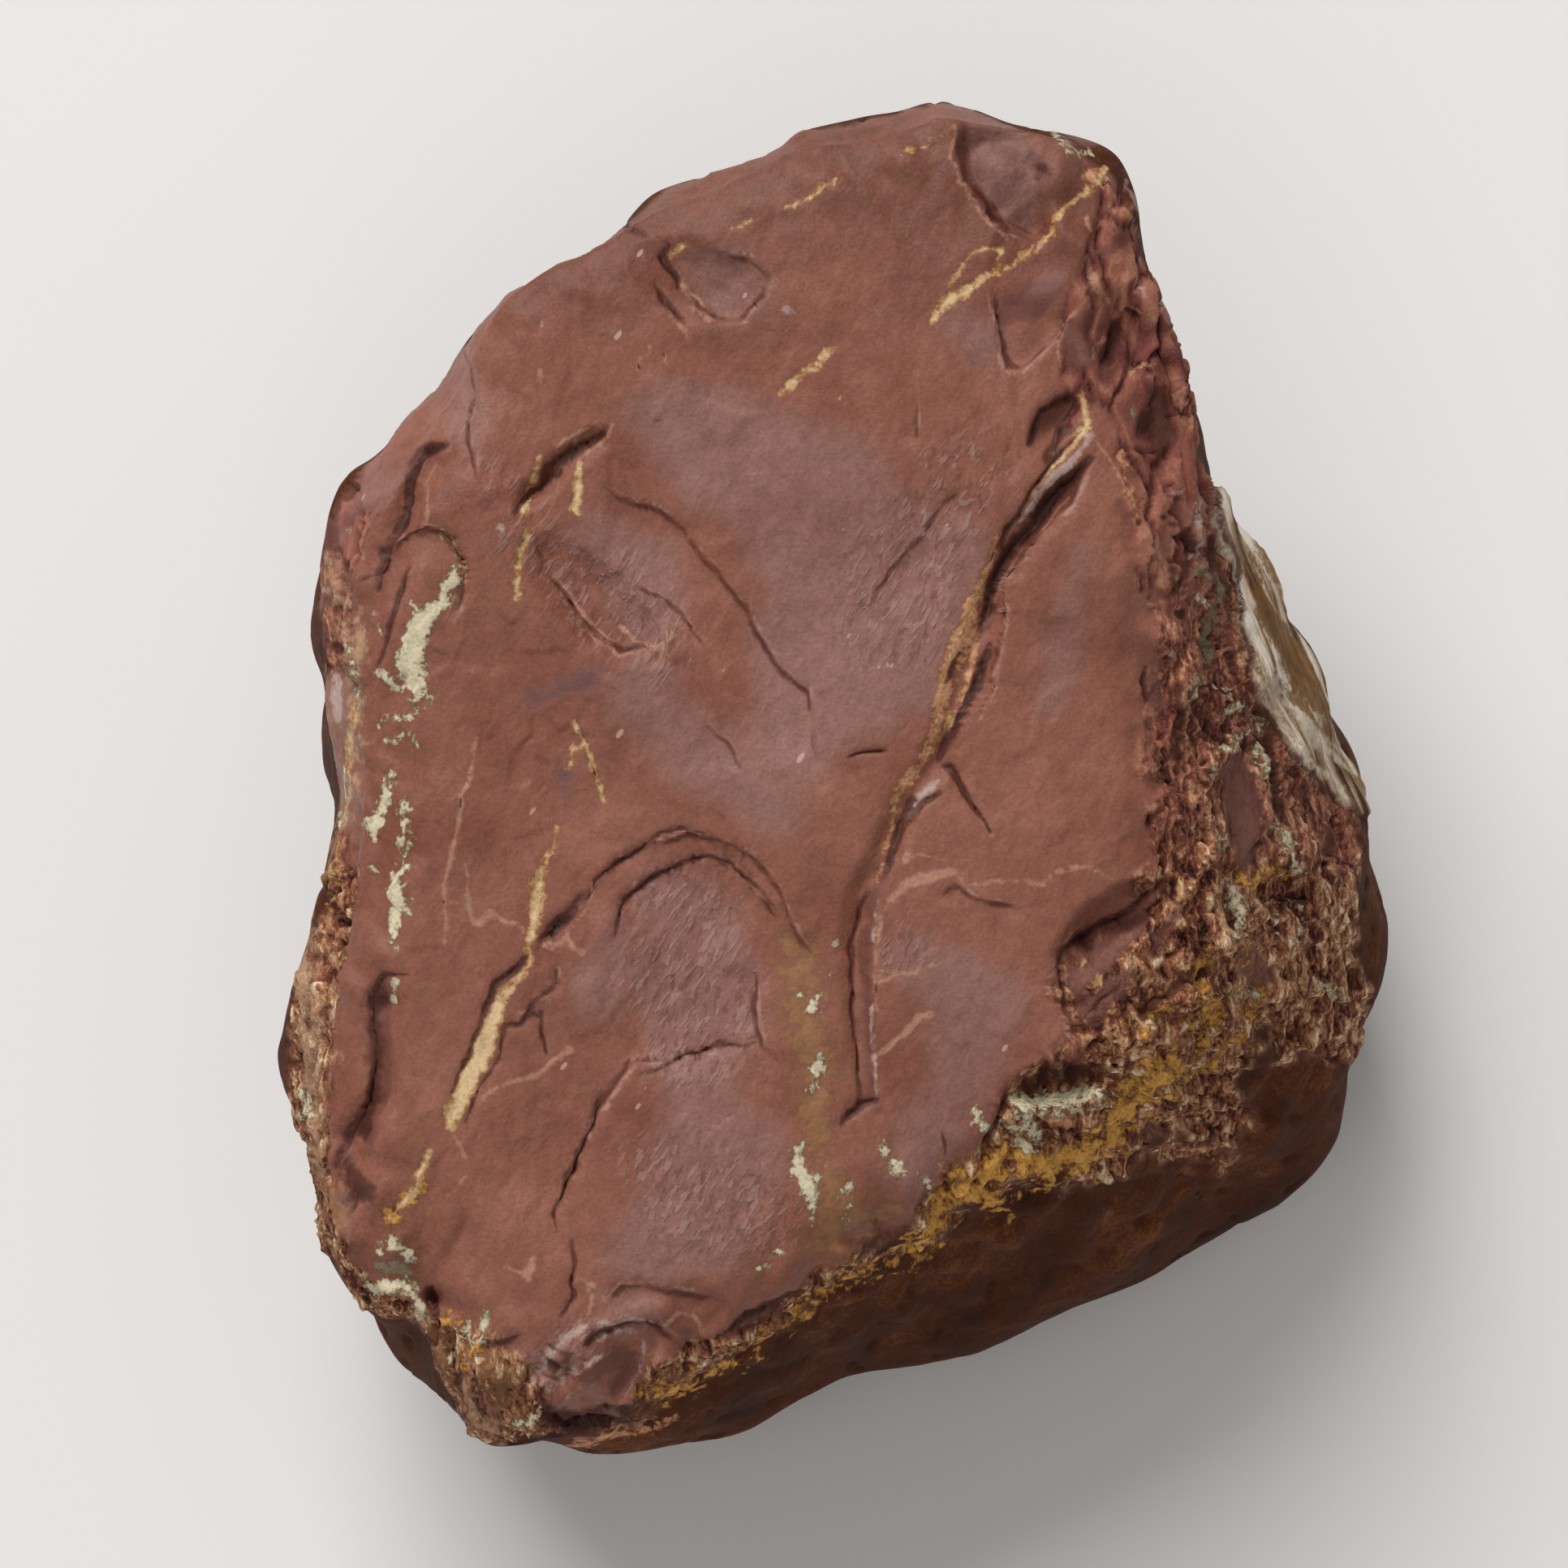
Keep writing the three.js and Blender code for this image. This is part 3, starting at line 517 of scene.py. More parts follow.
def wavered(place):
    # places moved about by noise of 2.4 and 0.8 mm, so that drawn paths come out natural
    flat = np.column_stack([place, np.zeros(len(place))])
    stray = [noise(flat, 2.4, seed) + 0.5 * noise(flat, 0.8, seed + 2) for seed in (11, 12)]
    return place + breakForm["waver"] * np.stack(stray, axis=1)


def asSeen(place, z):
    # where a place z mm above the plane of the face is seen in that plane, from viewReach over its middle:
    # place times viewReach / (viewReach - z)
    return place * (stoneForm["viewReach"] / (stoneForm["viewReach"] - z))[:, None]


def alongPath(path, place, margin):
    # nearest point of a path of straight lines, for places within the margin of it: their index, distance
    # (on the left positive), offset and share of the path's length passed there
    corners = np.array(path, float)[:, :2]
    inBox = np.all((place > corners.min(0) - margin) & (place < corners.max(0) + margin), axis=1)
    index = np.flatnonzero(inBox)
    spot = place[index]
    away, reached, passed = np.full(len(spot), 1e3), np.zeros(len(spot)), 0.0
    offset = np.zeros((len(spot), 2))
    for start, end in zip(corners[:-1], corners[1:]):
        line = end - start
        length = np.hypot(*line)
        t = np.clip((spot - start) @ line / length ** 2, 0, 1)
        gap = spot - start - t[:, None] * line
        far = np.hypot(gap[:, 0], gap[:, 1])
        nearer = far < np.abs(away)
        side = np.where(line[0] * gap[:, 1] < line[1] * gap[:, 0], -1, 1)
        away, offset = np.where(nearer, far * side, away), np.where(nearer[:, None], gap, offset)
        reached = np.where(nearer, passed + t * length, reached)
        passed += length
    return index, away, offset, reached / passed


def fadeEnds(share):
    # 1 along a path, easing to 0 over the last 15% at each end
    return smoothStep(share, 0, 0.15) * (1 - smoothStep(share, 0.85, 1))


def breakDepth(place):
    # grooves are straight-sided, steps drop at once and climb back smoothly, scoops are upside-down domes, 1
    # less the squares of the two shares of the way out; all add up
    depth = np.zeros(len(place))
    for path, half, deep in grooves:
        index, away, _, share = alongPath(path, place, half)
        depth[index] -= deep * fadeEnds(share) * np.maximum(0, 1 - np.abs(away) / half)
    for path, drop, reach in steps:
        index, away, _, share = alongPath(path, place, reach)
        below = -away if drop > 0 else away
        wall = breakForm["wallWidth"] + breakForm["wallLean"] * abs(drop)
        climb = smoothStep(below, -wall / 2, wall / 2) * (1 - smoothStep(below, 0, reach))
        depth[index] -= abs(drop) * fadeEnds(share) * climb
    for x, y, long, wide, turn, deep in scoops:
        c, s = math.cos(math.radians(turn)), math.sin(math.radians(turn))
        gapX, gapY = (place - (x, y)).T
        endways, sideways = (gapX * c + gapY * s) / long, (gapY * c - gapX * s) / wide
        depth -= deep * np.maximum(0, 1 - endways ** 2 - sideways ** 2)
    return depth


def stepEdges(place):
    # dark line at the foot of each step's wall, painted shade, and bright one on its crest, painted highlight
    # with some paler chipped
    # edge: half width, which grows with the drop and comes and goes in noise of 2 mm, less the distance
    flat = np.column_stack([place, np.zeros(len(place))])
    uneven = 0.8 + noise(flat, 2.0, 15)
    lines = np.full((2, len(place)), -2.0)
    for path, drop, reach in steps:
        index, away, _, share = alongPath(path, place, 2.0)
        below = -away if drop > 0 else away
        wall = breakForm["wallWidth"] + breakForm["wallLean"] * abs(drop)
        half = (0.05 + 0.25 * min(abs(drop), 0.5)) * fadeEnds(share) * uneven[index]
        for line, spot, thick in ((0, 0.4, 1), (1, -0.6, 0.7)):
            lines[line, index] = np.maximum(lines[line, index], thick * half - np.abs(below - spot * wall))
    return lines


def gathered(place):
    # each crack, step and thin line draws the grid in, a place at distance d going to d^2.5 / reach^1.5, so
    # that it comes out as a clean line
    reach = breakForm["gatherReach"]
    seen = wavered(asSeen(place, broadFace(*place.T)))
    lines = [inMm(line) for line in marks["vein"] + marks["rust"] + marks["tint"]]
    lines = [line for line in lines if np.array(line)[:, 2].max() < breakForm["thin"]]
    cracks = [inMm(crack) for crack in crackStrokes]
    for path in [step[0] for step in steps] + [line for line in cracks + lines if len(line) > 1]:
        index, away, offset, share = alongPath(path, seen, reach)
        move = offset * (fadeEnds(share) * np.maximum(0, 1 - (np.abs(away) / reach) ** 1.5))[:, None]
        place[index] -= move
        seen[index] -= move
    return place


# ---- marks on the skin
# Each mark is a stroke: across, down and half width at each of its points, in pixels of faceView
marks = {
    # pale cream crust
    "cream": [
        [(566, 700, 5), (552, 722, 9), (545, 745, 8), (520, 765, 12), (510, 790, 16), (505, 815, 16),
         (512, 840, 13), (520, 862, 7)],
        [(495, 747, 3), (505, 748, 5), (515, 755, 6)],
        [(473, 775, 5)],
        [(470, 828, 5), (482, 835, 5), (494, 850, 5)],
        [(470, 891, 3), (483, 885, 3), (503, 882, 3), (516, 882, 3)],
        [(479, 915, 3), (503, 901, 3), (513, 915, 3)],
        [(483, 951, 4), (473, 971, 6), (466, 998, 9), (457, 1020, 9), (462, 1034, 5)],
        [(496, 984, 5), (497, 1003, 5), (498, 1030, 5), (495, 1046, 5)],
        [(493, 1066, 7), (486, 1089, 11), (493, 1113, 13), (486, 1145, 6), (486, 1172, 2)],
        [(459, 1070, 4)],
        [(483, 1210, 4), (483, 1229, 3)],
        [(983, 1415, 6), (980, 1438, 8), (994, 1460, 11), (1000, 1480, 7), (1000, 1507, 4)],
        [(1018, 1442, 3), (1008, 1455, 5)],
        [(1010, 1303, 4), (1008, 1322, 7), (1000, 1345, 2)],
        [(1047, 1463, 3), (1040, 1488, 5), (1045, 1510, 3)],
        [(1089, 1402, 4), (1092, 1422, 5), (1104, 1437, 7), (1108, 1443, 4)],
        [(1128, 1449, 3), (1143, 1460, 3)],
        [(1019, 1202, 4)],
        [(1003, 1246, 5), (1006, 1228, 3)],
        [(986, 1226, 4)],
        [(1032, 1160, 4)],
        [(928, 1572, 3), (944, 1559, 3), (961, 1543, 4)],
        [(1294, 154, 2), (1298, 166, 3), (1310, 175, 3), (1324, 185, 4), (1337, 190, 3)],
        [(1273, 1369, 4), (1294, 1372, 4)],
        [(1337, 1372, 3), (1359, 1365, 3)],
        [(1201, 1372, 4), (1216, 1394, 4)],
        [(467, 1538, 6), (487, 1531, 8), (505, 1549, 7)],
        [(453, 1590, 9), (474, 1586, 9), (498, 1583, 10), (511, 1593, 8)],
        [(515, 1607, 6), (518, 1621, 6)],
        [(560, 1642, 4), (556, 1673, 4)],
        [(580, 1628, 5), (580, 1655, 4)],
        [(598, 1621, 5), (594, 1652, 4)],
        [(635, 1759, 5), (660, 1742, 5)],
        [(373, 1350, 7), (375, 1372, 7)],
        [(1476, 835, 2), (1476, 859, 3)],
        [(1500, 838, 2), (1512, 859, 2)],
        [(1520, 847, 3), (1526, 859, 3), (1520, 867, 3)],
        [(1512, 882, 3), (1526, 873, 3), (1532, 870, 2)],
        [(1506, 917, 4), (1523, 916, 4), (1532, 903, 4), (1538, 901, 3)],
        [(1553, 885, 5), (1556, 908, 4)],
        [(1547, 917, 5), (1553, 938, 6), (1557, 961, 3)],
        [(1562, 923, 3), (1566, 958, 3), (1570, 976, 2)],
        [(1493, 947, 4), (1500, 961, 4)],
        [(1491, 1005, 3), (1503, 1026, 3), (1509, 1043, 3)],
        [(1588, 1026, 4), (1597, 1049, 4), (1597, 1073, 3)],
        [(1573, 1017, 3), (1591, 1026, 3)],
        [(1515, 1087, 4), (1529, 1117, 6), (1529, 1152, 4)],
        [(1535, 1225, 4), (1553, 1228, 4)],
        [(1629, 1211, 4), (1650, 1234, 4)],
        [(1603, 1108, 3), (1606, 1137, 3), (1600, 1167, 2)],
        [(1579, 1117, 3), (1582, 1149, 3)],
        [(1477, 731, 2), (1491, 749, 2)],
        [(382, 1250, 3), (386, 1275, 3)],
        [(1246, 1356, 7), (1262, 1360, 8), (1287, 1360, 9), (1323, 1353, 8), (1359, 1349, 7)],
        [(1248, 1394, 7), (1273, 1399, 8), (1284, 1403, 7)],
        [(1262, 1413, 7), (1284, 1417, 7)],
        [(1256, 1376, 5), (1300, 1372, 5), (1330, 1370, 4)],
        [(1236, 1386, 4), (1250, 1406, 4)],
        [(433, 800, 2), (437, 840, 3), (440, 880, 2)],
        [(427, 930, 2), (423, 980, 2.5), (418, 1020, 2)],
    ],
    # cream-yellow veins with orange edges
    "vein": [
        [(688, 1013, 2), (682, 1046, 3), (668, 1073, 5), (662, 1096, 8), (658, 1126, 7), (655, 1159, 5),
         (648, 1186, 5), (632, 1209, 5), (615, 1235, 8), (609, 1262, 10), (595, 1288, 14), (582, 1315, 14),
         (569, 1345, 12), (559, 1371, 10), (552, 1391, 5)],
        [(708, 895, 3), (722, 918, 3), (732, 948, 4), (745, 984, 3)],
        [(708, 918, 3), (695, 941, 2)],
        [(663, 563, 3), (655, 593, 4), (645, 630, 6)],
        [(649, 653, 4), (640, 679, 3), (640, 706, 4), (634, 735, 4)],
        [(714, 573, 4), (712, 600, 5), (707, 628, 6)],
        [(971, 253, 3), (991, 246, 3), (1008, 233, 3), (1030, 219, 2)],
        [(895, 286, 2), (911, 279, 3), (931, 269, 2)],
        [(825, 312, 4), (843, 302, 4)],
        [(958, 488, 2), (975, 472, 6), (994, 458, 5), (1018, 435, 6), (1031, 425, 2)],
        [(1362, 208, 4), (1335, 236, 4), (1308, 259, 4), (1292, 286, 4), (1268, 309, 4), (1242, 329, 3),
         (1212, 345, 4), (1189, 359, 7), (1166, 378, 8), (1149, 395, 3)],
        [(1172, 349, 2), (1192, 316, 2), (1212, 306, 2), (1232, 309, 3), (1225, 322, 2)],
        [(1113, 190, 2), (1139, 180, 3), (1169, 163, 2)],
        [(532, 1414, 3), (518, 1449, 5), (508, 1473, 5), (487, 1490, 5), (480, 1507, 4)],
        [(434, 859, 3), (437, 880, 5), (433, 920, 5), (431, 960, 4), (424, 1010, 4)],
        [(419, 1040, 3), (408, 1085, 3), (402, 1120, 2)],
        [(539, 657, 2), (554, 668, 3), (564, 683, 3), (576, 698, 3), (572, 713, 3), (556, 744, 2)],
        [(1390, 460, 2), (1409, 451, 3), (1427, 448, 2)],
        [(1427, 345, 3), (1436, 352, 3)],
        [(1448, 384, 3), (1450, 407, 3)],
        [(1331, 478, 2), (1337, 505, 4), (1340, 526, 7), (1330, 540, 7), (1310, 562, 3), (1284, 592, 2),
         (1258, 625, 2), (1240, 655, 2)],
        [(1238, 660, 1.5), (1214, 710, 2), (1196, 748, 2), (1182, 782, 2), (1170, 812, 2),
         (1158, 840, 1.5)],
        [(1188, 790, 1.5), (1196, 806, 2), (1190, 836, 2), (1176, 862, 2), (1164, 890, 2),
         (1154, 915, 1.5)],
        [(1140, 930, 1.5), (1118, 962, 2), (1106, 988, 2), (1098, 1020, 1.5)],
    ],
    # brown-orange veins
    "rust": [
        [(1337, 212, 7), (1360, 219, 6)],
        [(1379, 552, 3), (1383, 575, 5), (1390, 609, 5), (1399, 634, 4)],
        [(1300, 1380, 10), (1318, 1382, 8)],
        [(1490, 1010, 3), (1500, 1060, 4)],
        [(1496, 660, 2), (1508, 712, 2), (1520, 760, 2.5), (1534, 815, 2.5), (1548, 860, 2)],
        [(1236, 662, 3), (1216, 704, 4), (1197, 745, 7), (1184, 780, 9), (1172, 820, 11), (1160, 860, 9),
         (1152, 900, 7), (1142, 930, 6), (1124, 955, 7), (1106, 980, 6), (1100, 1010, 4), (1094, 1045, 4),
         (1082, 1085, 3)],
        [(1196, 760, 4), (1200, 800, 5), (1196, 840, 5), (1184, 870, 5), (1168, 900, 5)],
        [(690, 1786, 3), (740, 1772, 4), (790, 1758, 4), (830, 1744, 3)],
        [(1420, 1205, 3), (1440, 1190, 4), (1462, 1170, 3)],
        [(1506, 1180, 3), (1524, 1206, 4), (1534, 1236, 3)],
        [(1560, 1150, 3), (1580, 1180, 4), (1584, 1210, 3)],
    ],
    # thin orange-pink lines
    "tint": [
        [(586, 911, 2), (576, 951, 3), (569, 994, 2.5), (559, 1040, 2.5), (551, 1090, 3), (545, 1160, 2)],
        [(1099, 1113, 4), (1125, 1088, 7), (1152, 1077, 7), (1175, 1074, 5), (1195, 1090, 3),
         (1225, 1087, 3), (1251, 1086, 2), (1285, 1086, 4), (1304, 1071, 3), (1341, 1070, 3),
         (1374, 1083, 2)],
        [(1119, 1048, 5), (1115, 1062, 4)],
        [(1135, 1053, 2), (1165, 1060, 2)],
        [(1072, 1159, 2), (1092, 1169, 2)],
        [(1075, 1196, 3), (1099, 1196, 3)],
        [(1079, 1212, 3), (1119, 1202, 4), (1152, 1186, 3)],
        [(1075, 1302, 2), (1092, 1292, 4), (1112, 1275, 4), (1132, 1252, 5), (1152, 1249, 3)],
        [(585, 1358, 4), (622, 1338, 3), (655, 1328, 3), (682, 1308, 3), (705, 1295, 4)],
        [(549, 1474, 2), (582, 1444, 2)],
        [(559, 1400, 2), (575, 1428, 4)],
        [(654, 1549, 3), (652, 1575, 3), (623, 1562, 2)],
        [(712, 1575, 3), (732, 1582, 4), (725, 1622, 3), (706, 1642, 3)],
        [(745, 1602, 3), (765, 1582, 4), (795, 1585, 3)],
        [(688, 712, 3), (705, 736, 3), (731, 772, 4), (751, 792, 3)],
        [(761, 772, 3), (785, 795, 4), (814, 797, 5), (831, 782, 4), (814, 765, 2)],
        [(797, 425, 2), (797, 438, 2)],
        [(789, 440, 2), (787, 455, 2)],
        [(818, 430, 2), (817, 448, 2)],
        [(663, 455, 3), (663, 470, 3)],
        [(835, 352, 3), (858, 372, 4), (873, 392, 3)],
        [(820, 385, 2), (850, 412, 3)],
        [(1205, 700, 1), (1210, 690, 2)],
        [(1222, 1031, 3), (1205, 1008, 3)],
        [(571, 1067, 2), (576, 1108, 2)],
        [(562, 1113, 2), (579, 1118, 3), (586, 1133, 4), (598, 1133, 4), (605, 1123, 3), (617, 1133, 3),
         (647, 1145, 2)],
        [(668, 1164, 3), (683, 1169, 3), (697, 1157, 3), (700, 1145, 3)],
        [(700, 1157, 3), (717, 1176, 3), (719, 1169, 2)],
        [(736, 1084, 2), (729, 1108, 2), (714, 1130, 2), (700, 1145, 2)],
        [(688, 1196, 2), (681, 1215, 2), (659, 1234, 2), (634, 1251, 2)],
        [(536, 568, 2), (526, 596, 2), (527, 637, 2), (518, 650, 2), (498, 657, 2), (477, 683, 2),
         (465, 713, 2)],
        [(408, 703, 2), (408, 734, 2)],
        [(1176, 153, 2), (1172, 193, 3), (1179, 219, 3), (1199, 256, 3), (1225, 282, 2), (1250, 296, 2)],
        [(1370, 249, 3), (1372, 258, 4)],
        [(1342, 320, 4), (1344, 338, 5), (1356, 359, 5), (1360, 368, 3)],
        [(1337, 267, 3), (1344, 281, 3)],
        [(1360, 368, 3), (1383, 375, 3), (1409, 386, 3), (1427, 393, 2)],
        [(1333, 379, 2), (1314, 395, 2), (1305, 418, 2), (1308, 453, 2)],
        [(1351, 441, 2), (1353, 423, 3), (1370, 409, 2)],
        [(1418, 464, 3), (1432, 460, 2), (1445, 466, 3)],
        [(1450, 483, 2), (1454, 494, 3), (1461, 513, 3), (1459, 529, 2)],
        [(1349, 547, 1), (1365, 563, 1.5), (1379, 584, 1.5), (1383, 607, 1)],
        [(1318, 590, 1), (1290, 640, 1.5), (1257, 688, 1.5), (1240, 718, 1.5), (1238, 779, 1.5),
         (1230, 812, 1.5), (1224, 868, 1.5), (1200, 893, 1)],
        [(1404, 632, 4)],
        [(1429, 667, 3), (1432, 690, 3), (1436, 713, 2)],
        [(1448, 673, 3), (1454, 655, 3)],
        [(1404, 683, 3)],
        [(1418, 742, 3), (1434, 740, 3)],
        [(1514, 756, 2), (1519, 781, 2), (1516, 800, 2)],
        [(1503, 763, 2), (1516, 781, 2)],
        [(825, 1640, 2), (835, 1620, 2), (858, 1622, 2), (868, 1640, 2), (858, 1662, 2)],
        [(405, 600, 2), (420, 585, 2)],
        [(415, 680, 2), (408, 720, 2)],
        [(452, 640, 2), (440, 665, 2), (446, 690, 2)],
        [(385, 1190, 2), (390, 1240, 3), (384, 1290, 2)],
        [(400, 1160, 2), (410, 1210, 2), (404, 1260, 2)],
        [(660, 1674, 3), (690, 1652, 2.5), (730, 1632, 2), (770, 1622, 2.5), (812, 1632, 3)],
        [(600, 1640, 2), (606, 1665, 3), (600, 1690, 2)],
        [(575, 1660, 2), (580, 1700, 3), (574, 1730, 2)],
        [(592, 1700, 2), (600, 1740, 3), (604, 1765, 2)],
        [(709, 1776, 2), (740, 1766, 3), (780, 1752, 3), (805, 1741, 2)],
        [(760, 524, 1.5), (748, 538, 2.5), (730, 556, 2.5), (712, 568, 2)],
        [(741, 517, 1.5), (722, 527, 2), (702, 539, 2.5), (684, 552, 2)],
        [(1086, 1130, 2), (1078, 1190, 2), (1078, 1250, 1.5)],
    ],
    # light tan fibres
    "tan": [
        [(444, 759, 9), (447, 785, 11), (439, 821, 11), (437, 846, 10), (437, 897, 10), (436, 950, 9),
         (428, 1010, 8)],
        [(425, 765, 9), (430, 785, 6)],
        [(376, 1150, 8), (372, 1200, 12), (380, 1260, 14), (384, 1320, 14), (384, 1390, 12),
         (392, 1450, 8)],
        [(384, 820, 4), (396, 900, 8), (400, 960, 9), (398, 1020, 9), (388, 1080, 7), (374, 1120, 6)],
        [(405, 690, 6), (412, 740, 7)],
        [(560, 1660, 8), (566, 1700, 10), (585, 1740, 10), (610, 1765, 8)],
        [(604, 1690, 7), (622, 1720, 8)],
    ],
    # brown-ochre staining
    "ochre": [
        [(960, 1139, 12), (986, 1186, 26), (989, 1232, 30), (999, 1282, 26), (1009, 1332, 22),
         (1006, 1381, 20), (1012, 1431, 18), (1026, 1481, 24), (1019, 1530, 28)],
        [(1060, 1500, 20), (1100, 1490, 14)],
        [(600, 1690, 20), (625, 1710, 18)],
        [(560, 1680, 14), (545, 1640, 10)],
        [(420, 1500, 12), (400, 1450, 10)],
        [(573, 1665, 10), (592, 1672, 10)],
        [(612, 1702, 10), (626, 1728, 12)],
    ],
    # golden-yellow crust
    "gold": [
        [(518, 1449, 6), (508, 1473, 7), (487, 1490, 7), (480, 1507, 5)],
        [(1123, 1548, 8), (1143, 1512, 14), (1180, 1469, 18), (1216, 1440, 20), (1251, 1430, 20),
         (1287, 1440, 20), (1323, 1426, 20), (1366, 1401, 18), (1394, 1358, 18), (1430, 1322, 18)],
        [(1216, 1472, 18), (1234, 1486, 10)],
        [(1532, 1172, 6)],
        [(1535, 1087, 8), (1562, 1082, 8), (1585, 1076, 7)],
        [(560, 1625, 6), (575, 1650, 8), (570, 1690, 8)],
        [(1430, 1322, 12), (1452, 1306, 9)],
        [(1474, 1288, 7), (1498, 1262, 10), (1500, 1232, 9)],
        [(1486, 1222, 7), (1478, 1196, 10), (1492, 1178, 7)],
        [(1510, 1300, 5), (1530, 1280, 6)],
        [(1450, 1340, 6), (1425, 1365, 8)],
        [(779, 1731, 4), (812, 1718, 6), (845, 1708, 5), (878, 1690, 4), (911, 1667, 5), (944, 1644, 4)],
        [(965, 1630, 3), (1000, 1609, 5), (1050, 1575, 4), (1100, 1550, 6)],
        [(1404, 1270, 7), (1424, 1250, 9), (1444, 1226, 7)],
        [(1540, 1250, 5), (1556, 1226, 6)],
        [(1470, 1330, 6), (1490, 1316, 7)],
    ],
    # smooth dark red hollows; then the darkest of them, their dark red deepened with painted shade
    "maroon": [
        [(1351, 315, 5), (1372, 308, 8), (1388, 292, 9), (1395, 278, 6)],
        [(1338, 390, 10), (1325, 415, 14), (1328, 445, 14)],
        [(1312, 1178, 6), (1330, 1172, 12), (1368, 1146, 14), (1406, 1122, 9), (1438, 1092, 5)],
        [(1320, 1205, 10), (1335, 1235, 12), (1350, 1260, 8)],
        [(1456, 1123, 4), (1432, 1152, 6), (1427, 1178, 5)],
        [(1544, 1181, 12), (1562, 1211, 10)],
        [(470, 1215, 8), (470, 1260, 11), (472, 1300, 10), (468, 1350, 11), (455, 1400, 10)],
        [(1092, 1075, 5), (1076, 1110, 7), (1068, 1150, 8), (1066, 1200, 8), (1070, 1250, 8),
         (1072, 1300, 7), (1075, 1340, 7), (1080, 1366, 4)],
        [(1243, 388, 14), (1268, 372, 26), (1302, 350, 12)],
        [(1275, 535, 10), (1292, 515, 17), (1315, 492, 11)],
        [(720, 1690, 16), (745, 1670, 20), (775, 1680, 18), (760, 1710, 10)],
        [(800, 1655, 10)],
        [(846, 1642, 9)],
        [(1187, 152, 4), (1184, 180, 8), (1191, 210, 10), (1206, 240, 10), (1226, 268, 8), (1246, 288, 4)],
        [(405, 650, 10), (415, 700, 12), (408, 740, 10)],
        [(1268, 545, 6), (1280, 525, 12), (1300, 503, 14), (1318, 490, 8)],
        [(1330, 420, 14), (1345, 440, 16)],
    ],
    "redHollowShade": [
        [(1409, 299, 5), (1415, 317, 7), (1413, 336, 5)],
        [(1381, 391, 4), (1376, 414, 7), (1365, 441, 7), (1358, 460, 4)],
        [(1325, 575, 6), (1290, 610, 9), (1262, 650, 7)],
        [(420, 805, 5)],
        [(430, 1440, 11), (445, 1468, 12), (420, 1492, 7)],
        [(1262, 1340, 7), (1300, 1326, 13), (1335, 1320, 13), (1356, 1326, 8)],
        [(1418, 1128, 5), (1375, 1142, 8), (1340, 1160, 8)],
        [(1415, 525, 7), (1420, 505, 7)],
        [(1190, 205, 3), (1204, 236, 5), (1222, 262, 5), (1238, 280, 3)],
        [(1270, 200, 8), (1288, 210, 7)],
        [(464, 1215, 5), (461, 1260, 7), (463, 1300, 6), (458, 1350, 8), (448, 1395, 8)],
        [(746, 532, 4), (728, 545, 7), (712, 556, 7), (694, 568, 5), (676, 580, 3)],
        [(668, 1742, 8), (700, 1758, 14), (735, 1758, 13), (772, 1746, 8)],
        [(1238, 690, 3), (1222, 738, 3), (1206, 776, 2)],
        [(1202, 862, 2.5), (1180, 892, 3.5), (1164, 916, 2)],
        [(1100, 1050, 2.5), (1084, 1084, 3)],
        [(1440, 700, 5), (1446, 730, 6)],
        [(1448, 850, 6), (1456, 890, 9), (1446, 930, 7)],
        [(1490, 800, 5), (1500, 840, 6)],
        [(1468, 690, 5), (1460, 725, 5)],
    ],
    # purple-grey patches of rougher, hackly break, with the sheen of the soft light on them painted into
    # their colour
    "greySheen": [
        [(820, 520, 40), (900, 560, 70), (1000, 620, 100), (1060, 700, 110), (1040, 800, 110),
         (980, 900, 60)],
        [(1180, 690, 50), (1120, 820, 60)],
        [(830, 1120, 45), (850, 1190, 80), (860, 1260, 60)],
        [(760, 1160, 26), (740, 1220, 34)],
        [(860, 1350, 50), (880, 1430, 80), (860, 1500, 70), (800, 1540, 50)],
        [(885, 345, 40), (905, 365, 30)],
        [(1188, 398, 20), (1207, 415, 24)],
        [(1222, 185, 26), (1248, 235, 34)],
        [(575, 440, 8), (579, 495, 12), (582, 545, 5)],
        [(740, 655, 28), (785, 705, 44), (800, 760, 36)],
        [(400, 700, 20), (420, 640, 25), (470, 590, 18)],
        [(1130, 1180, 24), (1200, 1250, 50), (1180, 1350, 50), (1120, 1440, 30)],
        [(1330, 700, 10), (1310, 790, 20), (1300, 860, 10)],
        [(790, 860, 40), (870, 930, 50), (950, 990, 30)],
        [(760, 1602, 14), (792, 1612, 16), (735, 1642, 8), (700, 1662, 10), (674, 1688, 12)],
    ],
    # where the break is feathered with hackles
    "feather": [
        [(840, 1120, 40), (850, 1190, 70), (860, 1270, 60)],
        [(800, 1430, 30), (850, 1470, 55), (930, 1500, 40)],
        [(700, 700, 30), (760, 760, 40), (820, 790, 26)],
        [(620, 600, 20), (660, 680, 24)],
        [(1190, 590, 40), (1130, 680, 60), (1100, 760, 50)],
        [(700, 1670, 26), (770, 1690, 26)],
        [(1110, 1160, 26)],
    ],
    # light grey facets and white specks, and glints and bright lit edges painted as highlights
    "paleAndGlint": [
        [(968, 380, 6), (978, 384, 3)],
        [(1072, 822, 2), (1097, 823, 2)],
        [(1152, 961, 3), (1136, 980, 7), (1121, 1006, 4)],
        [(1441, 802, 4)],
        [(669, 397, 3)],
        [(1115, 290, 3)],
        [(619, 651, 3)],
        [(735, 1735, 3)],
        [(1453, 1010, 3)],
        [(1405, 317, 2), (1404, 331, 2), (1406, 350, 2), (1411, 366, 2)],
        [(1429, 370, 2), (1441, 395, 2)],
        [(1446, 604, 3), (1456, 606, 3)],
        [(1480, 616, 3), (1475, 639, 4), (1477, 662, 3), (1475, 685, 2)],
        [(401, 729, 4)],
        [(429, 730, 2), (430, 742, 2)],
        [(428, 652, 4)],
        [(462, 757, 4)],
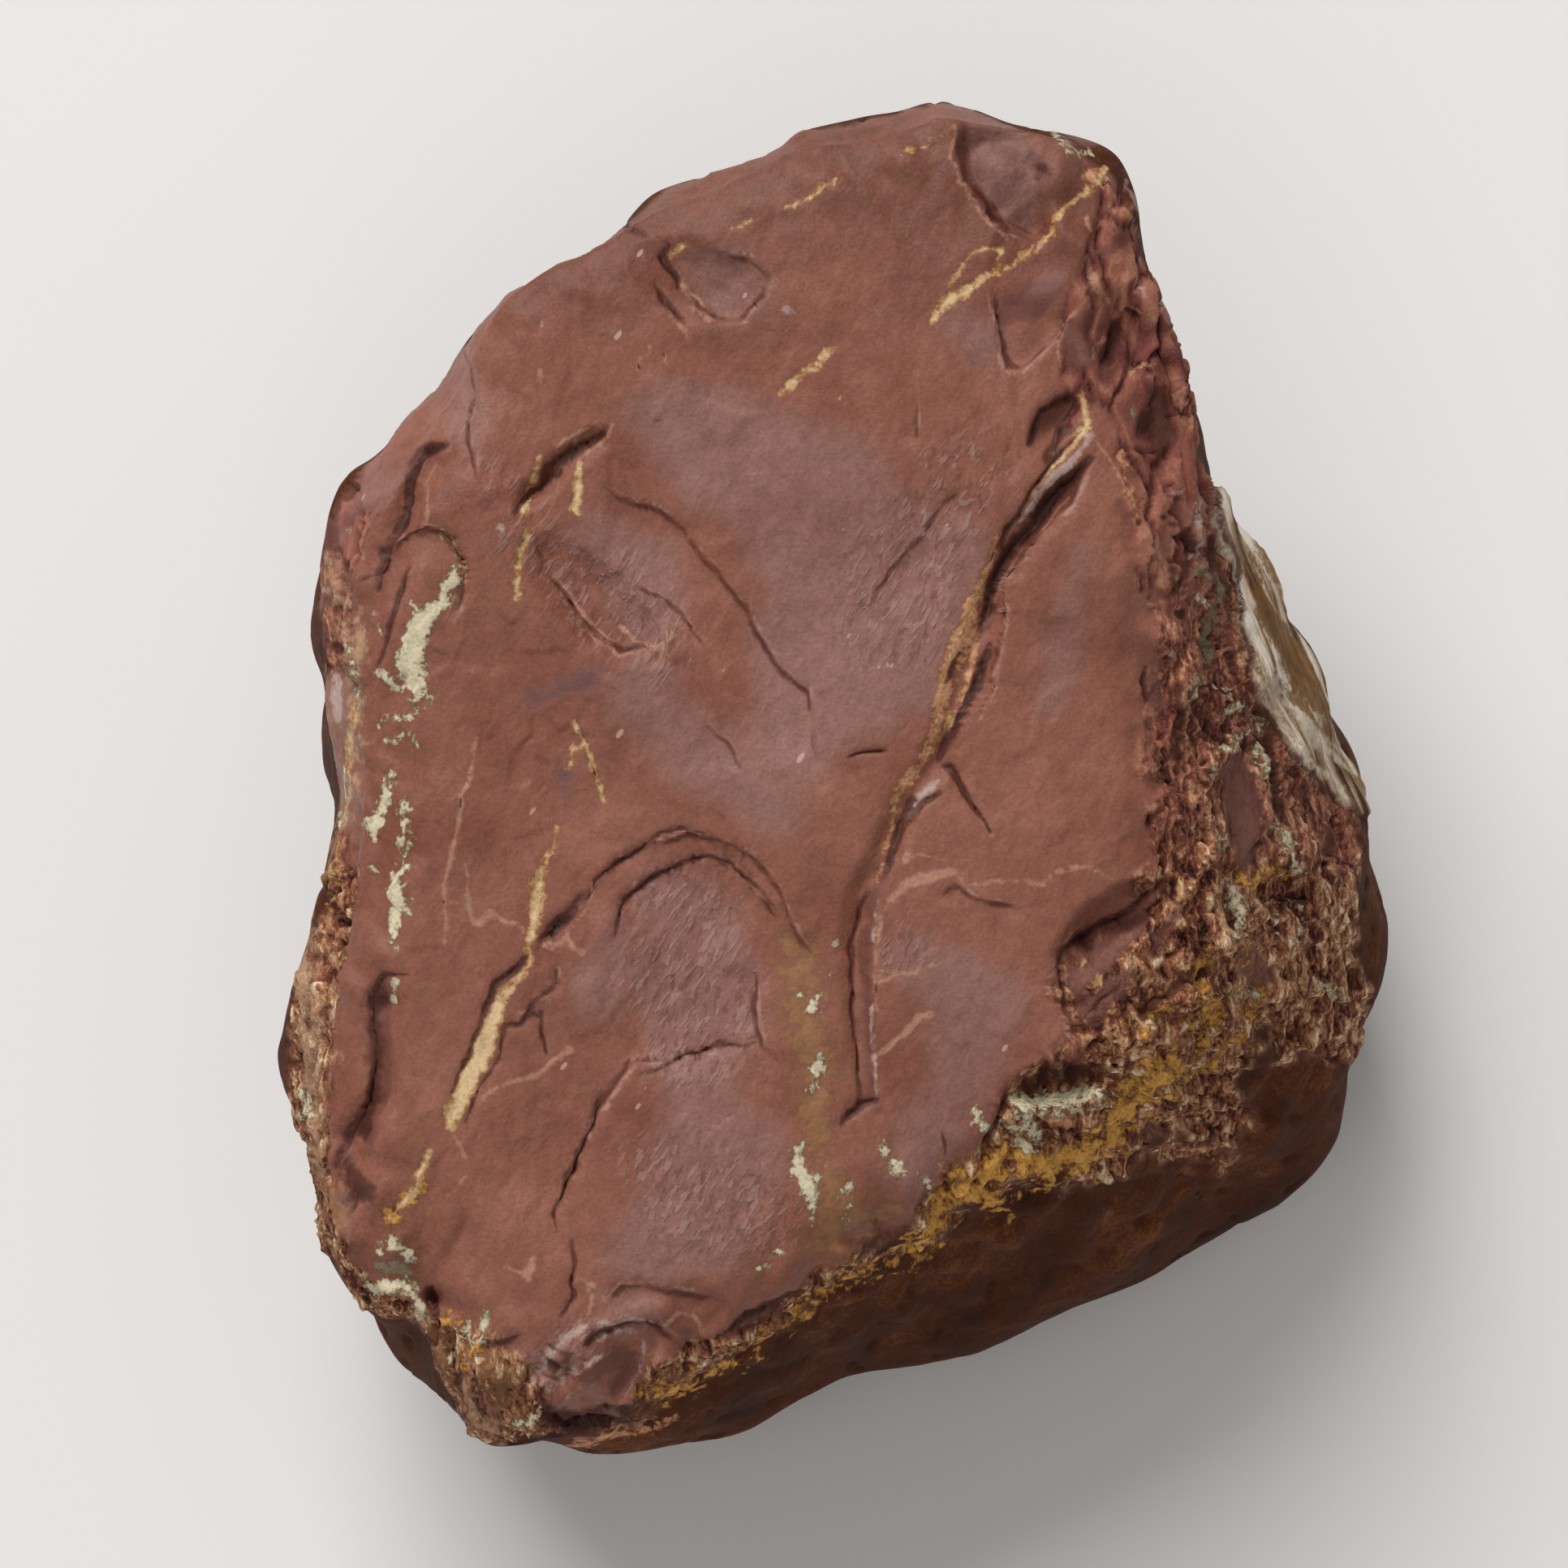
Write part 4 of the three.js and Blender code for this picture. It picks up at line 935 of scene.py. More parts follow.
        [(412, 835, 4), (412, 860, 7), (416, 885, 6)],
        [(1390, 223, 2), (1399, 249, 3), (1409, 269, 3), (1415, 290, 2)],
        [(1348, 540, 3), (1324, 566, 5), (1298, 592, 6), (1272, 620, 5), (1250, 645, 3)],
        [(795, 1642, 2), (793, 1665, 2.5), (786, 1690, 2)],
        [(1084, 1110, 1.5), (1074, 1160, 2), (1072, 1230, 1.5), (1076, 1290, 2), (1082, 1350, 1.5)],
        [(662, 1708, 1.5), (690, 1690, 2), (706, 1682, 1)],
        [(668, 1722, 1.5), (694, 1704, 2)],
        [(676, 1698, 1.5), (706, 1668, 2)],
        [(690, 1732, 1.5), (716, 1712, 1.5)],
        [(684, 1712, 1.5), (712, 1688, 2), (744, 1668, 1.5)],
        [(652, 1700, 3), (676, 1668, 4), (706, 1646, 5), (738, 1634, 4), (772, 1626, 3), (802, 1626, 4),
         (826, 1638, 3)],
        [(664, 1706, 2), (690, 1680, 3), (716, 1664, 2)],
        [(676, 1716, 2), (700, 1694, 3), (728, 1674, 2)],
        [(736, 1650, 2), (766, 1640, 3), (796, 1642, 2)],
    ],
    # olive-grey threads and crust
    "drab": [
        [(1480, 685, 2), (1484, 708, 3), (1500, 719, 5), (1503, 735, 5), (1496, 756, 4), (1493, 777, 4),
         (1498, 793, 6), (1496, 809, 5)],
        [(470, 1558, 8), (490, 1560, 10), (502, 1568, 6)],
        [(1395, 500, 2), (1400, 520, 2)],
    ],
    # crumbled patches on the rind
    "crumble": [
        [(1420, 1405, 16), (1455, 1425, 24), (1500, 1418, 26), (1530, 1385, 14)],
        [(1560, 1290, 14), (1600, 1270, 16)],
        [(1380, 1440, 8), (1350, 1470, 6)],
    ],
    # grey-white lens beyond the right edge, its white inner side and the brown streaks in it
    "wing": [
        [(1494, 582, 3), (1511, 630, 12), (1530, 673, 20), (1562, 774, 30), (1600, 881, 37),
         (1645, 945, 31), (1682, 990, 16)],
        [(1516, 606, 12), (1552, 690, 18), (1600, 780, 22), (1648, 880, 22), (1695, 980, 18)],
    ],
    "band": [
        [(1520, 620, 2), (1540, 665, 3), (1560, 705, 2.5), (1585, 752, 2), (1610, 800, 2), (1632, 850, 2)],
        [(1600, 880, 3), (1625, 905, 3), (1655, 930, 3), (1680, 965, 2)],
        [(1494, 590, 1.5), (1502, 640, 2), (1514, 690, 2), (1526, 740, 2), (1538, 790, 2),
         (1550, 836, 2.5), (1566, 876, 3), (1588, 912, 4), (1618, 944, 4), (1650, 972, 3)],
        [(1562, 830, 3), (1580, 856, 6), (1604, 888, 8), (1634, 922, 6), (1662, 954, 3)],
    ],
    "streak": [
        [(1538, 690, 3), (1552, 735, 6), (1566, 775, 11), (1584, 812, 16), (1606, 850, 13), (1632, 884, 6)],
        [(1530, 640, 2), (1548, 672, 3), (1570, 720, 3)],
        [(1575, 840, 3), (1600, 870, 3), (1630, 905, 3)],
        [(1660, 930, 4), (1688, 985, 5)],
    ],
    # smooth dark facets in the crust
    "slick": [
        [(1422, 490, 10), (1427, 517, 16), (1431, 540, 13)],
        [(1523, 945, 12), (1530, 985, 21), (1538, 1030, 19), (1533, 1062, 10)],
        [(1424, 815, 8), (1424, 860, 10)],
        [(1320, 160, 10), (1345, 172, 12)],
        [(1318, 410, 12), (1336, 440, 14)],
        [(1372, 430, 10), (1362, 460, 8)],
        [(1326, 1212, 12), (1352, 1190, 16), (1384, 1164, 14), (1410, 1136, 9)],
        [(1340, 1250, 10), (1366, 1226, 14), (1392, 1200, 10)],
        [(1430, 320, 9), (1440, 345, 9)],
    ],
    # blue-grey smudge
    "smudge": [
        [(654, 860, 5), (688, 854, 9), (720, 842, 10), (730, 828, 5)],
        [(694, 948, 4), (694, 1000, 4)],
    ],
}
# Inner edge of the crumbled crust, anticlockwise from the right: across and down, in pixels of faceView
crustEdge = [
    (1413, 989), (1410, 927), (1416, 897), (1410, 866), (1413, 820), (1431, 774), (1425, 744),
    (1407, 719), (1395, 682), (1389, 646), (1382, 591), (1350, 510), (1315, 480), (1308, 400),
    (1345, 300), (1350, 215), (1320, 120), (1180, 100), (1000, 120), (800, 200), (620, 280), (520, 370),
    (470, 470), (462, 560), (450, 620), (428, 690), (412, 750), (390, 800), (362, 840), (355, 900),
    (365, 1000), (372, 1080), (396, 1180), (403, 1290), (400, 1380), (392, 1440), (398, 1490),
    (430, 1545), (500, 1605), (560, 1632), (640, 1665), (690, 1735), (760, 1745), (805, 1680),
    (880, 1645), (950, 1610), (1010, 1580), (1060, 1530), (1120, 1500), (1150, 1450), (1215, 1410),
    (1245, 1340), (1330, 1290), (1315, 1246), (1303, 1215), (1306, 1185), (1330, 1151), (1361, 1130),
    (1398, 1111), (1407, 1065), (1416, 1040),
]
# How far the crust covers the side below the edge: bearing in degrees, cover in mm past its inner edge
crustSide = np.array([
    (0, 2), (50, 2), (62, 0.6), (72, -1.5), (138, -1.5), (146, 0.3), (150, 0.8), (164, 0.8), (168, -0.8),
    (186, -0.8), (192, 0.3), (198, 2), (320, 2),
])
# Where the weathered rind takes over down the side: bearing in degrees, depth as in broadSkin
rindStart = np.array([
    (0, 1.95), (30, 1.95), (60, 1.85), (90, 1.8), (140, 1.8), (180, 1.95), (210, 2.05), (225, 2.2),
    (240, 2.2), (248, 1.7), (256, 1.14), (270, 1.08), (300, 1.1), (315, 1.25), (330, 1.6), (345, 1.9),
])
# Vein sheets that run through the stone and come out on its far side: distance from the middle of the face
# along (0.89, -0.45, 0.1), and half width
veinSheets = [(-8.5, 0.5), (4.5, 0.25), (13.0, 0.35)]


def strokeField(strokes, place, farthest=2.0):
    # greatest half width less distance over all strokes, in mm: above 0 inside a stroke. A little is added so
    # that the thinnest lines hold together between the points of the mesh
    field = np.full(len(place), -farthest)
    for stroke in strokes:
        points = np.array(inMm(stroke), float)
        if len(points) == 1:
            points = np.concatenate([points, points + (0.01, 0, 0)])
        margin = farthest + points[:, 2].max()
        low, high = points[:, :2].min(0) - margin, points[:, :2].max(0) + margin
        index = np.flatnonzero(np.all((place > low) & (place < high), axis=1))
        spot = place[index]
        for start, end in zip(points[:-1], points[1:]):
            line = end - start
            t = np.clip((spot - start[:2]) @ line[:2] / (line[:2] @ line[:2]), 0, 1)
            gap = spot - start[:2] - t[:, None] * line[:2]
            field[index] = np.maximum(field[index], start[2] + t * line[2] + breakForm["spread"]
                                      - np.hypot(gap[:, 0], gap[:, 1]))
    return field


zoneForm = {
    "crustRag": 0.9,  # the crust's edge strays this far, in mm
    "crustRagSize": 2.2,  # in bays of this size, in mm
    "crustEdge": (-0.35, 0.65),  # and thickens over this, in mm
    "rindRag": (1.5, 3.5),  # its edge strays by these eighths of a depth, up on the shoulder and below
    "rindRagSize": 7.0,  # in bays of this size, in mm
    "rindEdge": (-0.3, 0.4),  # and closes over these eighths
    "patchRag": 1.2,  # the crumbled patches' edges stray this far, in mm
}


def zoneFields(bearing, depth, seen, flat, patches):
    # share of each kind of skin at each point: crumbled crust outside its inner edge, and rind below its
    # start but for the crumbled patches on it
    edge = ringTable(inMm(crustEdge))
    outside = np.hypot(*seen.T) - lookUp(edge, 1, np.arctan2(seen[:, 1], seen[:, 0]))
    sideRing = np.array([np.radians(crustSide[:, 0]), crustSide[:, 1]])
    outside = np.where(depth > 1, lookUp(sideRing, 1, bearing), outside)
    form = zoneForm
    outside = outside + form["crustRag"] * roughNoise(flat, form["crustRagSize"], 2, 21)
    crust = smoothStep(outside, *form["crustEdge"])
    rindRing = np.array([np.radians(rindStart[:, 0]), rindStart[:, 1]])
    start = lookUp(rindRing, 1, bearing)
    least, most = form["rindRag"]
    rag = least + (most - least) * smoothStep(start, 1.3, 1.8)
    below = (depth - start) * 8 + rag * roughNoise(flat, form["rindRagSize"], 5, 31)
    patch = smoothStep(patches + form["patchRag"] * roughNoise(flat, form["crustRagSize"], 3, 23), -0.3, 0.6)
    rind = smoothStep(below, *form["rindEdge"]) * (1 - patch)
    crust = np.maximum(crust, smoothStep(patches, -1.5, -0.5))
    return crust * (1 - rind), rind


skinHeight = {  # heights of the fine relief, in mm
    "faceWave": 0.07,
    "faceChip": 0.07,
    "hackle": 0.09,
    "crustLump": 0.3,
    "crustChip": 0.32,
    "crustRidge": 0.26,
    "crustRim": 0.06,
    "crustGap": 0.32,
    "rindWave": 0.16,
    "rindPit": 0.3,
    "rindCrease": 0.25,
    "wingRidge": 0.4,
    "veinDip": 0.1,
    "creamLift": 0.05,
    "creamCrumb": 0.08,
    "goldLift": 0.08,
    "goldCrumb": 0.3,
    "goldChip": 0.2,
}
skinSize = {  # sizes of the noises that shape it, in mm
    "faceWave": 4.0,
    "flake": 3.2,
    "smallFlake": 1.3,
    "hackle": 0.9,
    "crustLump": 3.6,
    "crustChip": 2.0,
    "smallChip": 0.85,
    "crustRidge": 1.2,
    "rindWave": 5.0,
    "rindPit": 1.5,
    "smallPit": 0.7,
    "rindCrease": 9.0,
    "wingRidge": 1.1,
    "crumb": 0.55,
    "goldChip": 0.9,
}


def strayed(point, flat, reach, size, seed):
    # point + reach * three noises of the size, one to each axis
    return point + reach * np.stack([noise(flat, size, seed + k) for k in range(3)], axis=1)


def fineRelief(flat, fields, crust, calm, rind, wing):
    # each kind of skin has its own noise, weighed by its share; cracks are cut in and the marks' crusts laid
    # on. The lift is in mm; the second result, about -1 to 1, tells low from high for the colours, which are
    # painted darker in the low places and lighter on the high ones, as painted shade and light
    high, wide = skinHeight, skinSize
    x, y, z = flat.T
    feather = smoothStep(fields["feather"], -1.5, 1.0)
    bent = strayed(flat, flat, 0.5, 1.7, 36)
    slant = np.stack([0.88 * x - 0.47 * y, 0.35 * (0.47 * x + 0.88 * y), z], axis=1)
    flakes = chipNoise(bent, wide["flake"], 41)[0] + 0.5 * chipNoise(bent, wide["smallFlake"], 42)[0]
    face = high["faceWave"] * roughNoise(flat, wide["faceWave"], 2, 43) + high["faceChip"] * flakes
    face += high["hackle"] * feather * np.maximum(ridgeNoise(slant, wide["hackle"], 2, 45), -0.2)
    fibres = np.stack([x + 0.14 * y, 0.36 * y, z], axis=1)
    bentFibres = strayed(fibres, flat, 0.35, 1.1, 56)
    chips, chipEdge = chipNoise(bentFibres, wide["crustChip"], 51)
    smallChips, smallEdge = chipNoise(bentFibres, wide["smallChip"], 52)
    ridges = ridgeNoise(bentFibres, wide["crustRidge"], 2, 53)
    gaps = 1 - smoothStep(chipEdge, 0, 0.14) + 0.5 * (1 - calm) * (1 - smoothStep(smallEdge, 0, 0.16))
    rims = smoothStep(chipEdge, 0.05, 0.18) * (1 - smoothStep(chipEdge, 0.22, 0.5))
    rag = 1 - 0.85 * calm
    # the crust's colours follow this height: lighter on the chips and their rims, darker in the gaps, as
    # painted light and shade
    crustShadeByHeight = 1.1 - 1.1 * rag + 0.3 * chips + 0.5 * rims + rag * (0.3 * smallChips + 0.4 * ridges)
    crustShadeByHeight -= 0.8 * gaps
    rough = high["crustChip"] * (chips + 0.5 * rag * smallChips) + high["crustRidge"] * rag * ridges
    rough += high["crustRim"] * rims - high["crustGap"] * gaps
    rough += high["crustLump"] * (noise(flat, wide["crustLump"], 54) - 0.5)
    smoothed = 1 - 0.85 * smoothStep(fields["slick"], -0.5, 0.1)
    rindShape = roughNoise(flat, wide["rindWave"], 3, 61)
    pits = noise(flat, wide["rindPit"], 64) + 0.4 * noise(flat, wide["smallPit"], 65)
    pits = smoothStep(pits, 0.45, 0.9)
    creases = smoothStep(ridgeNoise(flat, wide["rindCrease"], 3, 67), 0.72, 0.95)
    rindLift = high["rindWave"] * rindShape - high["rindPit"] * pits - high["rindCrease"] * creases
    grain = np.stack([0.89 * x + 0.45 * y, 0.12 * (0.89 * y - 0.45 * x), 0.2 * z], axis=1)
    wingShape = ridgeNoise(grain, wide["wingRidge"], 2, 71)
    plain = (1 - crust) * (1 - rind)
    lift = face * plain + rough * smoothed * crust * (1 - wing) + rindLift * rind * (1 - wing)
    lift += high["wingRidge"] * wingShape * wing
    shape = flakes * plain + crustShadeByHeight * smoothed * crust * (1 - wing)
    shape += (0.5 * rindShape - pits - 1.5 * creases) * rind * (1 - wing) + wingShape * wing
    crack = breakForm["crackSteepness"] * np.maximum(fields["crack"], 0)
    crack = np.minimum(crack, breakForm["crackDeepest"])
    crumb = noise(flat, wide["crumb"], 81)
    lift += -crack - high["veinDip"] * smoothStep(fields["vein"], 0, 0.25)
    lift += smoothStep(fields["cream"], 0, 0.25) * (high["creamLift"] + high["creamCrumb"] * crumb)
    gold = high["goldLift"] + high["goldCrumb"] * crumb
    gold += high["goldChip"] * chipNoise(flat, wide["goldChip"], 82)[0]
    lift += smoothStep(fields["gold"], -0.3, 0.5) * gold
    return lift, shape


def buildStone():
    # broad skin, then the breaks cut straight down into the face and eased out over its edge, then the fine
    # relief along the normals
    bearing, depth, quads, fans = skinGrid()
    spoke = np.minimum(depth, 1) * lookUp(rimRing, 1, bearing)
    place = np.stack([spoke * np.cos(bearing), spoke * np.sin(bearing)], axis=1)
    onFace = depth < 0.97
    place[onFace] = gathered(place[onFace])
    print("stone: grid drawn in to the cracks")
    broad = broadSkin(bearing, depth, *place.T)
    triangles = cutQuads(broad, quads, fans)
    normal = pointNormals(broad, triangles)
    flat = faceOn(broad)
    cut = breakDepth(wavered(asSeen(place, broadFace(*place.T)))) * (1 - smoothStep(depth, 1, 1.6))
    out = laid(0, 0, 1) - laid(0, 0, 0)
    seen = wavered(asSeen(flat[:, :2], flat[:, 2]))
    inView = 1 - smoothStep(depth, 2.15, 2.45)
    wingView = 1 - smoothStep(depth, 2.35, 2.8)
    drawn = {**marks, "crack": crackStrokes}
    fields = {name: strokeField(strokes, seen) for name, strokes in drawn.items()}
    # painted shade at the foot of each step and painted highlight on its crest
    fields["foot"], fields["paleCrestHighlight"] = stepEdges(seen)
    for name, field in fields.items():
        near = wingView if name in ("wing", "band", "streak") else inView
        fields[name] = field * near - 2 * (1 - near)
    across = flat @ (0.89, -0.45, 0.1) + 1.2 * roughNoise(flat, 9.0, 3, 91)
    sheets = [half * (0.4 + 0.9 * noise(flat, 5.0, 95)) - np.abs(across - at) for at, half in veinSheets]
    fields["vein"] = np.maximum(fields["vein"], np.maximum.reduce(sheets) - 3 * inView)
    print("stone: marks laid on")
    crust, rind = zoneFields(bearing, depth, seen, flat, fields.pop("crumble"))
    wing = smoothStep(fields["wing"], -0.1, 0.25) * smoothStep(depth, 0.9, 1.1)
    calm = smoothStep(flat[:, 1] + 1.5 * noise(flat, 3.0, 99), 7, 12)
    # the second result is the relief height for the colours, lighter where high and darker where low: painted
    # light and shade
    lift, shape = fineRelief(flat, fields, crust, calm, rind, wing)
    point = broad + cut[:, None] * out + lift[:, None] * normal
    point[depth >= 4.9, 2] = 0
    point[:, 2] = np.maximum(point[:, 2], 0)
    kept, triangles = np.unique(triangles, return_inverse=True)
    shift = (np.array(cadBox[0]) + np.array(cadBox[1])) * 500 - (broad[kept].min(0) + broad[kept].max(0)) / 2
    shift[2] = 0  # its own middle goes to the CAD's, and it stays on the floor
    dusk = smoothStep(-flat[:, 1] + 2 * noise(flat, 5.0, 97), 2, 7)
    fields.update(crust=crust, rind=rind, wing=wing, dusk=dusk, calm=calm, coarse=crust * (1 - 0.85 * calm))
    # upper rises over the top of the face, where the material darkens the body as painted shade
    fields.update(shape=np.clip(shape, -2, 2), upper=smoothStep(flat[:, 1] + noise(flat, 6.0, 98), 20, 32))
    fields = {name: field[kept] for name, field in fields.items()}
    return (point[kept] + shift) / 1000, triangles.reshape(-1, 3), fields, shift


def makeMesh(name, point, faces, fields):
    # a mesh object at the origin with its points in metres, and one number per point for each field
    mesh = bpy.data.meshes.new(name)
    mesh.from_pydata(point.tolist(), [], faces.tolist())
    for field, values in fields.items():
        mesh.attributes.new(field, "FLOAT", "POINT").data.foreach_set("value", values.astype(np.float32))
    mesh.polygons.foreach_set("use_smooth", np.ones(len(mesh.polygons), bool))
    mesh.update()
    piece = bpy.data.objects.new(name, mesh)
    bpy.context.scene.collection.objects.link(piece)
    return piece


stonePoints, stoneFaces, stoneFields, frameShift = buildStone()
stone = makeMesh("jasperStone", stonePoints, stoneFaces, stoneFields)
print("stone:", len(stonePoints), "points,", len(stoneFaces), "triangles")


# ---- materials
def linearColour(hexValue):
    # sRGB hex to linear light: value / 12.92 when dark, else ((value + 0.055) / 1.055) to the power 2.4
    parts = [int(hexValue[k:k + 2], 16) / 255 for k in (1, 3, 5)]
    return tuple(p / 12.92 if p <= 0.04045 else ((p + 0.055) / 1.055) ** 2.4 for p in parts) + (1.0,)


def addNode(tree, kind, settings, inputs, stops=()):
    # one node with its settings; an input is a value, or the output socket that is linked to it. Stops are
    # the places and sRGB colours of a colour ramp
    node = tree.nodes.new(kind)
    for name, value in settings.items():
        setattr(node, name, value)
    for name, value in inputs.items():
        if isinstance(value, bpy.types.NodeSocket):
            tree.links.new(value, node.inputs[name])
        else:
            node.inputs[name].default_value = value
    for index, (place, colour) in enumerate(stops):
        if index == len(node.color_ramp.elements):
            node.color_ramp.elements.new(place)
        node.color_ramp.elements[index].position = place
        node.color_ramp.elements[index].color = linearColour(colour)
    return node


# Rough jasper: opaque microcrystalline quartz, dull to waxy on a fresh break, so the colour comes from iron
# staining and the gloss is a soft sheen
jasperLook = {
    "ior": 1.54,  # chalcedony
    "specular": 0.22,
    "roughness": (0.5, 0.9),  # on the break, and on crust and rind
    "bendSize": 1.2,  # bent grain strays in waves of this size, in mm
    "bendReach": 0.9,  # by up to this, in mm
    "greySheenEdge": (0.9, 3.0),  # the grey sheen's signal from none to full
    "greySheenCover": 0.8,
    "fleckAndTopShade": (0.64, 1.18),  # the body is made darker and lighter by these, by its flecks and scratches and by painted shade at the top of the face
    "hackleGather": (0.7, 3.4),  # hackles gather where their signal goes from none to full
    "hackleEdge": (0.55, 0.63),  # and lie where their noise is above this
    "hackleCover": 0.4,
    "shadeCover": 0.42,
    "base": [(0.3, "#7c4838"), (0.5, "#8b5746"), (0.7, "#98614f")],  # red-brown body, over patches
    "greySheen": [(0.3, "#8a5f56"), (0.7, "#976e65")],  # purple-grey, partly a painted sheen
    "flake": 1.9,  # width of the small flakes, in mm
    "speck": 1.4,  # spacing of the pale specks, in mm
    "speckChance": 0.55,  # share of the cells without one
    "speckSize": 0.12,  # half width of the largest, in cells
    "holeEdge": (0.03, 0.1),  # dark holes in the crust lie where their noise is below this
    "holeShade": 0.45,
    "hackleColour": "#ab8a82",
    "shadeColour": "#63392f",
    "speckColour": "#cdab9a",
    "relief": [("fleck", 0.042), ("flakeHeight", 0.096), ("hackleLine", 0.07), ("fibreHeight", 0.21),
               ("holeHeight", 0.28)],  # fine bumps, in mm
    # crust ramps, dark to light, are read by tones that rise with the relief height and the fibres: partly
    # the crust's own maroon and tan, partly painted shade in its hollows and gaps and painted light on its
    # tops
    "calmCrust": [(0.0, "#43201a"), (0.3, "#733f38"), (0.55, "#8b5246"), (0.75, "#a36a54"), (1.0, "#c6926f")],
    "redCrust": [(0.0, "#35160f"), (0.22, "#5c2f25"), (0.45, "#7f4a3b"), (0.68, "#a56b53"), (0.88, "#c9936f"),
                 (1.0, "#e0b891")],
    "tanCrust": [(0.0, "#240d09"), (0.25, "#54291c"), (0.5, "#8a563d"), (0.7, "#b58760"), (0.88, "#d8b48c"),
                 (1.0, "#e8d4ba")],
    # rind: its own dark brown, made darker still as painted shade, darkest in its pits and creases
    "rind": [(0.0, "#1f0a03"), (0.35, "#371403"), (0.6, "#4f2409"), (0.85, "#7a4822"), (1.0, "#9c6e45")],
    "wing": [(0.0, "#472f1a"), (0.3, "#836244"), (0.55, "#b3967a"), (0.8, "#dcc8b0"), (1.0, "#f4e8d8")],
}
# Noise in the stone: size in mm, detail, lean of its grain to the right in degrees, how many times longer it
# is along the grain and down into the stone, and whether the grain is bent
patterns = {
    "patch": (7.0, 5.0, 0, 1, 1, False),
    "cluster": (3.5, 3.0, 0, 1, 1, False),
    "fleck": (0.22, 2.0, 0, 1, 1, False),  # just big enough to show
    "scratch": (0.5, 3.0, 32, 3.3, 1, True),
    "hackle": (0.3, 1.0, 32, 5, 1, False),
    "shade": (0.3, 1.0, 20, 3.6, 1, False),
    "fibre": (0.42, 3.0, -8, 3.6, 1, True),
    "hole": (1.0, 4.0, -8, 1.8, 1, True),
    "strand": (0.6, 2.0, -27, 16, 12, False),
    "fineMottle": (0.5, 3.0, 0, 1, 1, False),
    "mottle": (0.8, 3.0, 0, 1, 1, False),
    "broadMottle": (1.2, 2.0, 0, 1, 1, False),
}
# Signals made by adding up others: start, then each part's weight. The relief height in the tones makes the
# colours lighter on high places and darker in low ones: painted light and shade
sums = {
    "calmTone": (-0.4, (("shape", 0.4), ("fleck", 0.4), ("cluster", 0.35), ("fibre", 0.35))),
    "crustTone": (-1.12, (("shape", 0.24), ("fibre", 2.1), ("fleck", 0.5), ("cluster", 0.6))),
    "rindTone": (-0.42, (("shape", 0.12), ("patch", 0.8), ("cluster", 0.3), ("fleck", 0.45),
                         ("scratch", 0.35))),
    "wingTone": (-1.5, (("shape", 0.15), ("strand", 3.6), ("fleck", 0.4))),
    "grain": (0.0, (("fleck", 1.0), ("scratch", 1.0))),
    # light: flecks and scratches, less the upper field, which darkens the top of the face as painted shade
    "light": (0.0, (("grain", 1.0), ("upper", -0.36))),
}
# Colour ramps and the signals that they are read by
rampTones = [("base", "patch"), ("greySheen", "patch"), ("calmCrust", "calmTone"), ("redCrust", "crustTone"),
             ("tanCrust", "crustTone"), ("rind", "rindTone"), ("wing", "wingTone")]
# Stains, and painted light and shade on crests, feet, cracks, glints and hollows, laid over the body in turn:
# field, edge colour, inner colour, pattern of the ragged edge and its depth in mm, soft edge in mm, reach of
# the edge colour in mm, and cover
stainsAndPaintedLight = [
    ("smudge", "#745054", "#574247", "broadMottle", 0.4, 0.9, 0.6, 0.6),
    ("maroon", "#7a4c41", "#6a3d34", "broadMottle", 0.15, 0.3, 0.4, 0.85),
    ("slick", "#6b443b", "#82564c", "broadMottle", 0.3, 0.3, 0.6, 0.9),
    # red: the dark red of the deepest hollows, deepened with painted shade
    ("redHollowShade", "#4f271e", "#351711", "broadMottle", 0.3, 0.5, 0.6, 0.85),
    ("tan", "#8f6650", "#c49d7c", "mottle", 0.6, 0.5, 0.6, 0.75),
    ("ochre", "#7f5438", "#956a45", "mottle", 1.1, 1.2, 1.0, 0.8),
    ("gold", "#6e4220", "#e4a84f", "mottle", 0.9, 0.3, 0.7, 0.9),
    ("rust", "#8a5337", "#dba178", "fineMottle", 0.22, 0.16, 0.25, 0.9),
    ("tint", "#9b6852", "#c4957c", "fineMottle", 0.1, 0.14, 0.15, 0.6),
    ("vein", "#9a683a", "#e6c796", "fineMottle", 0.16, 0.12, 0.3, 0.93),
    ("drab", "#5d4c36", "#8d7f63", "fineMottle", 0.2, 0.15, 0.2, 0.85),
    ("band", "#b39a7c", "#efe2cd", "fineMottle", 0.12, 0.14, 0.2, 0.7),
    ("streak", "#8a6238", "#77501f", "fineMottle", 0.2, 0.3, 0.3, 0.85),
    # crest and foot: painted highlight on the steps' crests, partly their paler chipped edges, and painted
    # shade at their feet
    ("paleCrestHighlight", "#9c6e61", "#b48b7d", "mottle", 0.05, 0.12, 0.12, 0.75),
    ("foot", "#693c31", "#46241c", "mottle", 0.05, 0.14, 0.15, 0.8),
    # pale: light grey spots, with painted highlights as glints and bright edges
    ("paleAndGlint", "#97736a", "#c2aaa0", "fineMottle", 0.1, 0.14, 0.15, 0.75),
    # cream: its dark edge colour is partly the crust's broken edge, partly painted shadow round the raised
    # crust
    ("cream", "#6b4f33", "#ded1b0", "fineMottle", 0.3, 0.1, 0.24, 1.0),
    # crack: painted shade in the open cracks, darkest in their cores
    ("crack", "#5f3328", "#260e09", "mottle", 0.06, 0.16, 0.28, 0.88),
]


